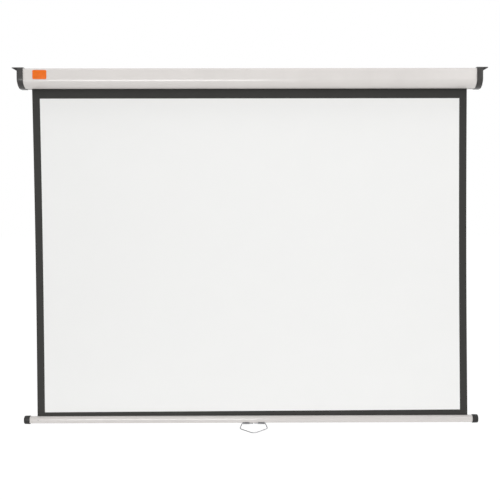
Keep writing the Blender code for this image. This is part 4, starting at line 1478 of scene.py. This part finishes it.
@dataclass
class ScreenSheet:
    """The hanging sheet, the white area on its front, its hem, and its turns on the roller."""

    width: float = 1.554
    top: float = -0.0003
    bottom: float = -1.2101
    cells: tuple[int, int] = (132, 104)
    image_width: float = 1.500
    image_top: float = -0.0673
    image_bottom: float = -1.1923
    image_skin: float = 0.00025
    image_proud: float = 0.0002
    image_cells: tuple[int, int] = (128, 97)
    # How the hanging cloth strays from flat. A ripple has half waves across, a phase and a share.
    lean_top: float = -0.0033
    lean_bottom: float = 0.0046
    image_tilt: float = 0.0030
    pinch: float = 0.0020
    curl: float = 0.0022
    curl_width: float = 0.060
    ripple: float = 0.0006
    ripples: tuple[tuple[float, float, float], ...] = (
        (2.3, 0.4, 1.0), (5.1, 1.9, 0.45), (9.7, 0.8, 0.2),
    )
    travel: float = 1.170
    raised_top: float = -0.0065
    raised_image_top: float = -0.0070
    hem_z: float = -1.21415
    hem_radius: float = 0.003525
    hem_turn: float = math.radians(352.0)
    hem_cells: tuple[int, int] = (8, 40)
    roller_y: float = -0.034125
    wrap_radius: float = 0.01865
    wrap_turns: float = 1.5
    wrap_pitch: float = 0.00075
    wrap_cells: tuple[int, int] = (8, 108)

    @property
    def hang(self) -> float:
        """The length of the hanging part."""
        return self.top - self.bottom

    def build(self) -> None:
        """Makes the sheet, the image area, the hem and the turns on the roller."""
        sheet = self.build_hanging()
        image = self.build_image()
        self.wind_up(sheet, self.top, self.bottom, self.raised_top)
        self.wind_up(image, self.image_top, self.image_bottom, self.raised_image_top)
        hem = self.build_hem()
        wrap = self.build_wrap()

    def wind_up(self, piece: bpy.types.Object, top: float, foot: float, raised_top: float) -> None:
        """Gives a piece of cloth its own copy of its mesh.

        Args:
            piece: The cloth.
            top: The height of its top while the screen is down. Not used.
            foot: The height of its foot while the screen is down. Not used.
            raised_top: The height of its top, inside the case, while the screen is up. Not used.
        """
        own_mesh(piece)

    def stray(self, across: float, z: float) -> Vector:
        """How far the hanging cloth strays from a flat sheet.

        Args:
            across: The distance from the sheet's middle, along X.
            z: The height.

        Returns:
            The stray: a lean to one side, a slight draw inwards, and a curl of the side edges and
            slow ripples away from the roller, which the raised cloth has to clear.
        """
        down = (self.top - z) / self.hang
        free = math.sin(math.pi * down)
        lean = self.lean_top + (self.lean_bottom - self.lean_top) * down
        side = across / (self.width / 2)
        from_edge = self.width / 2 - abs(across)
        curled = max(0.0, 1.0 - from_edge / self.curl_width) ** 2
        wave = sum(
            share * (1.0 + math.sin(count * math.pi * side + phase))
            for count, phase, share in self.ripples
        )
        away = (self.ripple * wave + self.curl * curled) * free
        return Vector((lean - self.pinch * side * free, away, 0.0))

    def hung(self, across: float, z: float, proud: float = 0.0) -> Vector:
        """Where a place of the hanging sheet is.

        Args:
            across: The distance from the sheet's middle, along X.
            z: The height.
            proud: How far it stands in front of the cloth's middle layer.

        Returns:
            The place.
        """
        return Vector((across, CLOTH_Y - proud, z)) + self.stray(across, z)

    def build_hanging(self) -> bpy.types.Object:
        """Makes the black sheet from the roller down to the hem.

        Returns:
            The sheet.
        """
        cloth = ClothSheet("screen_sheet", self.width, self.hang, self.cells)
        return cloth.lay(
            lambda u, v: self.hung(u, self.top - v), Body.HOUSING, BLACK_FABRIC, ["screen_fabric"],
        )

    def build_image(self) -> bpy.types.Object:
        """Makes the white area, a thin skin just proud of the sheet's front.

        Returns:
            The image area.
        """
        height = self.image_top - self.image_bottom
        proud = CLOTH_THICKNESS / 2 + self.image_proud - self.image_skin / 2
        cloth = ClothSheet(
            "image_area", self.image_width, height, self.image_cells, self.image_skin,
        )

        def coated(u: float, v: float) -> Vector:
            """Where a place of the image area is, tilted more the lower it is."""
            tilt = self.image_tilt * (2 * u / self.image_width) * (v / height)
            return self.hung(u, self.image_top - v + tilt, proud)

        return cloth.lay(coated, Body.HOUSING, IMAGE_WHITE, ["viewing_surface"])

    def build_hem(self) -> bpy.types.Object:
        """Makes the hem that goes round the rod inside the bar.

        Returns:
            The hem.
        """
        start = QUARTER_TURN + (math.tau - self.hem_turn) / 2
        length = self.hem_radius * self.hem_turn
        cloth = ClothSheet("sheet_hem", self.width, length, self.hem_cells)

        def around(u: float, v: float) -> Vector:
            """Where a place of the hem is, round the rod from one side of the slit on top."""
            away = spoke(self.hem_radius, start + v / self.hem_radius)
            return Vector((u, CLOTH_Y, self.hem_z)) + away

        return cloth.lay(around, Body.WEIGHT_BAR, BLACK_FABRIC, ["fabric_hem"])

    @property
    def wrap_length(self) -> float:
        """The length of cloth that is still on the roller."""
        mean = self.wrap_radius - self.wrap_pitch * self.wrap_turns / 2
        return math.tau * self.wrap_turns * mean

    def build_wrap(self) -> bpy.types.Object:
        """Makes the turns that stay on the roller: a spiral that ends where the sheet leaves it.

        Returns:
            The turns of cloth.
        """
        cloth = ClothSheet("sheet_on_roller", self.width, self.wrap_length, self.wrap_cells)

        def wound(u: float, v: float) -> Vector:
            """Where a place of the cloth is, further in the further it is wound on.

            Args:
                u: Metres across the cloth, from its middle.
                v: Metres along it.

            Returns:
                The place.
            """
            turns = self.wrap_turns * v / self.wrap_length
            away = spoke(self.wrap_radius - self.wrap_pitch * turns, math.tau * turns)
            return Vector((u, self.roller_y, 0.0)) + away

        return cloth.lay(wound, Body.ROLLER, BLACK_FABRIC, ["roller_wrap"])


# Bottom bar and handle


@dataclass
class BottomBar:
    """The round painted bar with its slot on top, its pin, and a domed cap on each end."""

    # How far out the points of a cap's domed end lie, as shares of its rim.
    DOME_SHARES = (0.75, 0.5, 0.25, 0.0)

    centre_z: float = -1.22225
    radius: float = 0.01325
    wall: float = 0.0011
    slot: float = 0.0026
    half_length: float = 0.808
    cap_mouth: float = 0.798
    cap_tip: float = 0.820
    cap_radius: float = 0.01535
    cap_taper: float = 0.0004
    cap_round: float = 0.0045
    cap_dome: float = 0.0007
    cap_lip: float = 0.0004
    cap_bevel: float = 0.00012
    cap_steps: int = 8
    cap_sides: int = 64
    pin_x: float = -0.7675
    pin_rise: float = 0.0012
    pin_radius: float = 0.0014
    pin_length: float = 0.005
    pin_dome: float = 0.0005
    pin_steps: int = 6
    pin_sides: int = 20
    sides: int = 96

    @property
    def centre(self) -> Vector:
        """A point on the bar's axis."""
        return Vector((0.0, CLOTH_Y, self.centre_z))

    def build(self) -> None:
        """Makes the bar, its caps and its pin."""
        self.build_tube()
        for side in Side:
            self.build_cap(side)
        self.build_pin()

    def build_tube(self) -> bpy.types.Object:
        """Makes the tube: a long edge beside the slot, spun round to the slot's other side.

        Returns:
            The tube.
        """
        tube = Workpiece("bottom_bar_painted")
        middle = self.radius - self.wall / 2
        half_slot = math.asin(self.slot / 2 / middle)
        place = self.centre + spoke(middle, QUARTER_TURN + half_slot)
        ends = [
            tube.bm.verts.new(place + x * X_AXIS) for x in (-self.half_length, self.half_length)
        ]
        edge = tube.bm.edges.new(ends)
        tube.spin([*ends, edge], self.centre, X_AXIS, math.tau - 2 * half_slot, self.sides)
        return tube.finish(Body.WEIGHT_BAR, BAR_COAT_PAINTED_SHADE, ["bottom_bar"], wall=self.wall)

    def build_cap(self, side: Side) -> bpy.types.Object:
        """Makes the cap over one end of the bar.

        Args:
            side: Which end.

        Returns:
            The cap.
        """
        seat = self.half_length + FIT_GAP
        bore = self.radius + FIT_GAP
        end_radius = self.cap_radius - self.cap_taper
        rim, turn = end_radius - self.cap_round, self.cap_round
        start = self.cap_tip - self.cap_dome - turn
        profile = [
            (seat, 0.0),
            (seat, bore),
            (self.cap_mouth, bore),
            (self.cap_mouth, self.cap_radius - self.cap_lip),
            (self.cap_mouth + self.cap_bevel, self.cap_radius - self.cap_bevel),
            (self.cap_mouth + self.cap_lip, self.cap_radius),
            *quarter_round(start, end_radius, turn, turn, self.cap_steps),
            *((self.cap_tip - self.cap_dome * s**2, rim * s) for s in self.DOME_SHARES),
        ]
        cap = Workpiece(f"bar_cap_moulded_{side.value}")
        cap.lathe(profile, self.cap_sides)
        cap.mirror_to(side)
        cap.turn(Matrix.Translation(self.centre))
        return cap.finish(Body.WEIGHT_BAR, BAR_CAP_PLASTIC, [f"bar_cap_{side.value}"])

    def build_pin(self) -> bpy.types.Object:
        """Makes the small pin in the bar's front, with a domed end that stands just proud.

        Returns:
            The pin.
        """
        surface = math.sqrt(self.radius**2 - self.pin_rise**2)
        back = surface + self.pin_dome - self.pin_length
        dome = quarter_round(
            surface, self.pin_radius, self.pin_dome, self.pin_radius, self.pin_steps,
        )
        pin = Workpiece("bar_pin_domed")
        pin.lathe([(back, 0.0), (back, self.pin_radius), *dome], self.pin_sides)
        pin.turn(Matrix.Rotation(-QUARTER_TURN, 4, "Z"))
        pin.turn(Matrix.Translation(self.centre + Vector((self.pin_x, 0.0, self.pin_rise))))
        return pin.finish(Body.WEIGHT_BAR, SPRING_STEEL, ["bar_pin"])


@dataclass
class PullHandle:
    """The bent wire loop under the bar, and the two riveted straps that carry it."""

    bar: BottomBar
    middle_x: float = 0.008
    drop: float = 0.0153
    wire_radius: float = 0.00175
    end_gap: float = 0.002
    top_half: float = 0.0415
    wide_half: float = 0.0505
    wide_drop: float = 0.0194
    point_drop: float = 0.0369
    top_bend: float = 0.004
    side_bend: float = 0.005
    point_bend: float = 0.040
    end_round: float = 0.0005
    strap_sheet: float = 0.0012
    strap_inner: float = 0.0153
    strap_outer: float = 0.0395
    strap_wrap: float = math.radians(52.0)
    strap_bend: float = 0.00032
    strap_bend_segments: int = 4
    strap_steps: tuple[int, int] = (10, 24)
    strap_edge: float = 0.00025
    rivet_radius: float = 0.0021
    rivet_shank: float = 0.00126
    rivet_height: float = 0.0009
    rivet_sink: float = 0.0006
    rivet_angle: float = math.radians(34.0)
    rivet_steps: int = 6
    rivet_sides: int = 24

    @property
    def hinge(self) -> Vector:
        """A point on the wire's axis of swing, in the middle of the handle."""
        return self.bar.centre + Vector((self.middle_x, 0.0, -self.drop))

    def build(self) -> None:
        """Makes the straps, their rivets and the wire loop."""
        for side in Side:
            self.build_strap(side)
            for front in (True, False):
                self.build_rivet(side, front)
        self.build_loop()

    def build_strap(self, side: Side) -> bpy.types.Object:
        """Makes a strap. Its section is drawn by spinning a point round the bar and the wire.

        Args:
            side: Which strap.

        Returns:
            The strap.
        """
        strap = Workpiece(f"handle_strap_{side.value}")
        on_bar = self.bar.radius + FIT_GAP + self.strap_sheet / 2
        on_wire = self.wire_radius + FIT_GAP + self.strap_sheet / 2
        bar_cosine = (self.drop**2 + on_bar**2 - on_wire**2) / (2 * self.drop * on_bar)
        wire_cosine = (self.drop**2 + on_wire**2 - on_bar**2) / (2 * self.drop * on_wire)
        along_bar = self.strap_wrap - math.acos(bar_cosine)
        round_wire = math.tau - 2 * math.acos(wire_cosine)
        near, far = (side.sign * x for x in (self.strap_inner, self.strap_outer))
        bar_centre = self.bar.centre + (self.middle_x + near) * X_AXIS
        wire_centre = self.hinge + near * X_AXIS
        start = spoke(on_bar, self.strap_wrap - QUARTER_TURN)
        vert = strap.bm.verts.new(bar_centre + start)
        bar_steps, wire_steps = self.strap_steps
        on_the_bar = (bar_centre, -along_bar, bar_steps)
        bends = []
        for centre, turn, steps in (
            on_the_bar, (wire_centre, -round_wire, wire_steps), on_the_bar,
        ):
            last = strap.spin([vert], centre, X_AXIS, turn, steps)
            vert = next(item for item in last if isinstance(item, BMVert))
            bends.append(vert)
        for bend in bends[:-1]:
            strap.round_vert(bend, self.strap_bend, self.strap_bend_segments)
        strap.sweep(list(strap.bm.edges), (far - near, 0.0, 0.0))
        # The straps' dark steel colour is partly the steel's own and partly painted shade from
        # under the bar.
        return strap.finish(
            Body.WEIGHT_BAR, SPRING_STEEL, [f"handle_bracket_{side.value}"],
            wall=self.strap_sheet, edge=self.strap_edge,
        )

    def build_rivet(self, side: Side, front: bool) -> bpy.types.Object:
        """Makes a rivet's domed head on a strap.

        Args:
            side: Which strap.
            front: Whether it is in front of the wire.

        Returns:
            The rivet.
        """
        where, angle = ("front", -self.rivet_angle) if front else ("back", self.rivet_angle)
        node = f"bracket_rivet_{side.value}_{where}"
        seat = self.bar.radius + 2 * FIT_GAP + self.strap_sheet
        head = quarter_round(
            seat, self.rivet_radius, self.rivet_height, self.rivet_radius, self.rivet_steps,
        )
        rivet = Workpiece(f"{node}_domed")
        rivet.lathe(
            [
                (seat - self.rivet_sink, 0.0),
                (seat - self.rivet_sink, self.rivet_shank),
                (seat, self.rivet_shank),
                *head,
            ],
            self.rivet_sides,
        )
        rivet.turn(Matrix.Rotation(QUARTER_TURN, 4, "Y"))
        rivet.turn(Matrix.Rotation(angle, 4, "X"))
        middle = self.middle_x + side.sign * (self.strap_inner + self.strap_outer) / 2
        rivet.turn(Matrix.Translation(self.bar.centre + middle * X_AXIS))
        # The rivets' dark steel colour is partly their own and partly painted shade from under the
        # bar.
        return rivet.finish(Body.WEIGHT_BAR, SPRING_STEEL, [node])

    def build_loop(self) -> bpy.types.Object:
        """Makes the wire loop. Its ends meet under the bar, and its foot comes to a soft point.

        Returns:
            The loop.
        """
        right = [
            (self.end_gap / 2, 0.0, 0.0),
            (self.top_half, 0.0, self.top_bend),
            (self.wide_half, -self.wide_drop, self.side_bend),
        ]
        foot = (0.0, -self.point_drop, self.point_bend)
        left = [(-x, z, bend) for x, z, bend in reversed(right)]
        path = [(self.hinge + Vector((x, 0.0, z)), bend) for x, z, bend in (*right, foot, *left)]
        wire = WireBender("pull_handle_wire", self.wire_radius)
        wire.run(path, self.end_round)
        return wire.piece.finish(Body.HANDLE, PLATED_WIRE, ["pull_handle"])


class WireBender:
    """Bends a round wire in the plane that faces Y, with its runs swept and its bends spun."""

    SIDES = 20
    DEGREES_A_STEP = 7.0
    LEAST_STEPS = 2

    def __init__(self, name: str, radius: float) -> None:
        """Takes the piece's name and the wire's radius."""
        self.piece = Workpiece(name)
        self.radius = radius

    def run(self, path: Sequence[tuple[Vector, float]], end_round: float) -> None:
        """Draws the wire through its corners.

        Args:
            path: Each corner's place, and the radius of its bend.
            end_round: The rounding of the wire's two cut ends.
        """
        places = [place for place, _ in path]
        heading = (places[1] - places[0]).normalized()
        facing = heading.to_track_quat("Z", "Y").to_matrix().to_4x4()
        start = bmesh.ops.create_circle(
            self.piece.bm, cap_ends=True, segments=self.SIDES, radius=self.radius,
            matrix=Matrix.Translation(places[0]) @ facing,
        )["verts"]
        ends = list(start[0].link_faces)
        ring = linked_edges(start)
        here = places[0]
        for i in range(1, len(path) - 1):
            corner, bend = path[i]
            leaving = (places[i + 1] - corner).normalized()
            turn = heading.angle(leaving)
            tangent = corner - heading * bend * math.tan(turn / 2)
            ring = self.piece.sweep(ring, tangent - here)
            axis = heading.cross(leaving).normalized()
            centre = tangent + axis.cross(heading) * bend
            steps = max(self.LEAST_STEPS, round(math.degrees(turn) / self.DEGREES_A_STEP))
            last = self.piece.spin(ring, centre, axis, turn, steps)
            ring = [item for item in last if isinstance(item, BMEdge)]
            here = corner + leaving * bend * math.tan(turn / 2)
            heading = leaving
        ring = self.piece.sweep(ring, places[-1] - here)
        ends.append(self.piece.fill(ring))
        self.piece.soften([edge for face in ends for edge in face.edges], end_round)


# Inner works


@dataclass
class InnerWorks:
    """The CAD nodes that keep their own mesh: each gets the finish of its slot in the record."""

    record: dict[str, Any]
    nodes: dict[str, bpy.types.Object]

    def build(self) -> None:
        """Dresses every node that is still shown."""
        by_slot = {finish.slot.value: finish for finish in FINISHES}
        for part in self.record["subparts"]:
            node = self.nodes[part["node"]]
            if node.hide_render:
                continue
            finish = by_slot[part["material_slot"]]
            node.data.materials.clear()
            node.data.materials.append(finish.material())
            LOG.info("%s: dressed as %s", part["node"], finish.name)


# Studio


@dataclass(frozen=True)
class SoftLight:
    """A rectangular lamp that points at a place. It may leave out its shading or highlights."""

    name: str
    place: Place
    target: Place
    size: tuple[float, float]
    power: float
    shades: bool = True
    shines: bool = True

    def build(self) -> None:
        """Makes the lamp, which the camera doesn't see."""
        lamp = bpy.data.lights.new(self.name, "AREA")
        lamp.shape = "RECTANGLE"
        lamp.size, lamp.size_y = self.size
        lamp.energy = self.power
        stand = shown(self.name, lamp)
        stand.location = self.place
        way = Vector(self.target) - Vector(self.place)
        stand.rotation_euler = way.to_track_quat("-Z", "Y").to_euler()
        stand.visible_camera = False
        stand.visible_diffuse = self.shades
        stand.visible_glossy = self.shines


@dataclass
class Studio:
    """The pale floor, the white surroundings, the soft lamps and the camera."""

    floor_z: float = -1.95
    floor_half: float = 30.0
    floor_colour: Colour = (0.80, 0.80, 0.80)
    floor_lift: float = 0.49
    daylight: float = 0.66
    camera_place: Place = (0.0678, -3.36, -0.4093)
    pitch_down: float = math.radians(1.90)
    yaw: float = math.radians(-0.318)
    roll: float = math.radians(-0.108)
    lens: float = 67.08
    sensor_width: float = 36.0
    shift: tuple[float, float] = (-0.05, -0.05)
    clip: tuple[float, float] = (0.05, 100.0)
    lamps: tuple[SoftLight, ...] = (
        SoftLight(
            "front_left", (-0.60, -2.27, -0.70), (-0.60, 0.0, -0.70), (1.32, 1.0), 32.0,
            shades=False,
        ),
        SoftLight("front_right", (1.75, -2.4, 0.45), (0.3, 0.0, -0.4), (1.4, 1.4), 11.0),
        SoftLight("front_top", (-0.6, -1.8, 1.2), (-0.3, 0.0, 0.0), (2.2, 0.8), 7.5, shines=False),
        SoftLight("overhead", (0.0, -0.7, 1.8), (0.0, -0.2, -0.4), (2.4, 0.8), 9.5),
        SoftLight(
            "front_low", (0.0, -3.4, -1.9), (0.0, 0.0, -0.2), (3.6, 1.4), 21.0, shines=False,
        ),
        SoftLight(
            "floor_bounce", (0.0, -1.5, -1.93), (0.0, -1.5, 0.0), (4.0, 2.6), 18.5, shines=False,
        ),
    )

    def build(self) -> None:
        """Makes the surroundings, the lamps and the camera."""
        self.build_floor()
        self.build_world()
        for lamp in self.lamps:
            lamp.build()
        self.build_camera()
        bpy.context.scene.view_settings.view_transform = "Standard"

    @staticmethod
    def seen_directly(board: NodeBoard) -> Socket:
        """Wires 1 for rays from the camera, or by way of gloss or glass, and 0 for the others.

        Args:
            board: The node board of the floor or of the surroundings.

        Returns:
            The output, 1 or 0.
        """
        path = board.add("ShaderNodeLightPath").outputs
        glossy = board.math("MAXIMUM", path["Is Camera Ray"], path["Is Glossy Ray"])
        return board.math("MAXIMUM", glossy, path["Is Transmission Ray"])

    def build_floor(self) -> None:
        """Makes the floor, which looks white and keeps the screen's soft shadow."""
        bm = bmesh.new()
        bmesh.ops.create_grid(bm, x_segments=1, y_segments=1, size=self.floor_half)
        bmesh.ops.translate(bm, verts=bm.verts, vec=(0.0, 0.0, self.floor_z))
        mesh = bpy.data.meshes.new("floor")
        bm.to_mesh(mesh)
        bm.free()
        floor = shown("floor", mesh)
        material = bpy.data.materials.new("pale_floor")
        board = NodeBoard.emptied(material)
        matt = board.add("ShaderNodeBsdfDiffuse", {"Color": (*self.floor_colour, 1.0)})
        lift = board.math("MULTIPLY", self.seen_directly(board), self.floor_lift)
        glow = board.add("ShaderNodeEmission", {"Color": (*WHITE, 1.0), "Strength": lift})
        both = board.add("ShaderNodeAddShader", {0: matt.outputs[0], 1: glow.outputs[0]})
        board.add("ShaderNodeOutputMaterial", {"Surface": both.outputs[0]})
        mesh.materials.append(material)

    def build_world(self) -> None:
        """Makes the surroundings: white where they are seen, and plain daylight on the screen."""
        world = bpy.data.worlds.new("surroundings")
        bpy.context.scene.world = world
        board = NodeBoard.emptied(world)
        strength = board.spread(self.seen_directly(board), self.daylight, 1.0)
        sky = board.add("ShaderNodeBackground", {"Color": (*WHITE, 1.0), "Strength": strength})
        board.add("ShaderNodeOutputWorld", {"Surface": sky.outputs[0]})

    def build_camera(self) -> None:
        """Makes the camera at the place that the picture was taken from."""
        data = bpy.data.cameras.new("camera")
        data.lens = self.lens
        data.sensor_width = self.sensor_width
        data.shift_x, data.shift_y = self.shift
        data.clip_start, data.clip_end = self.clip
        camera = shown("camera", data)
        turned = (
            Matrix.Rotation(self.yaw, 4, "Z")
            @ Matrix.Rotation(QUARTER_TURN - self.pitch_down, 4, "X")
            @ Matrix.Rotation(self.roll, 4, "Z")
        )
        camera.location = self.camera_place
        camera.rotation_euler = turned.to_euler()
        bpy.context.scene.camera = camera


# The whole screen


def main() -> None:
    """Loads the CAD frame and builds each sub-assembly over it."""
    logging.basicConfig(level=logging.INFO, format="%(message)s")
    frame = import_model()
    Studio().build()
    Case().build()
    for side in Side:
        EndCap(side).build()
    ScreenSheet().build()
    bar = BottomBar()
    bar.build()
    PullHandle(bar).build()
    InnerWorks(frame["record"], frame["nodes"]).build()


if __name__ == "__main__":
    main()
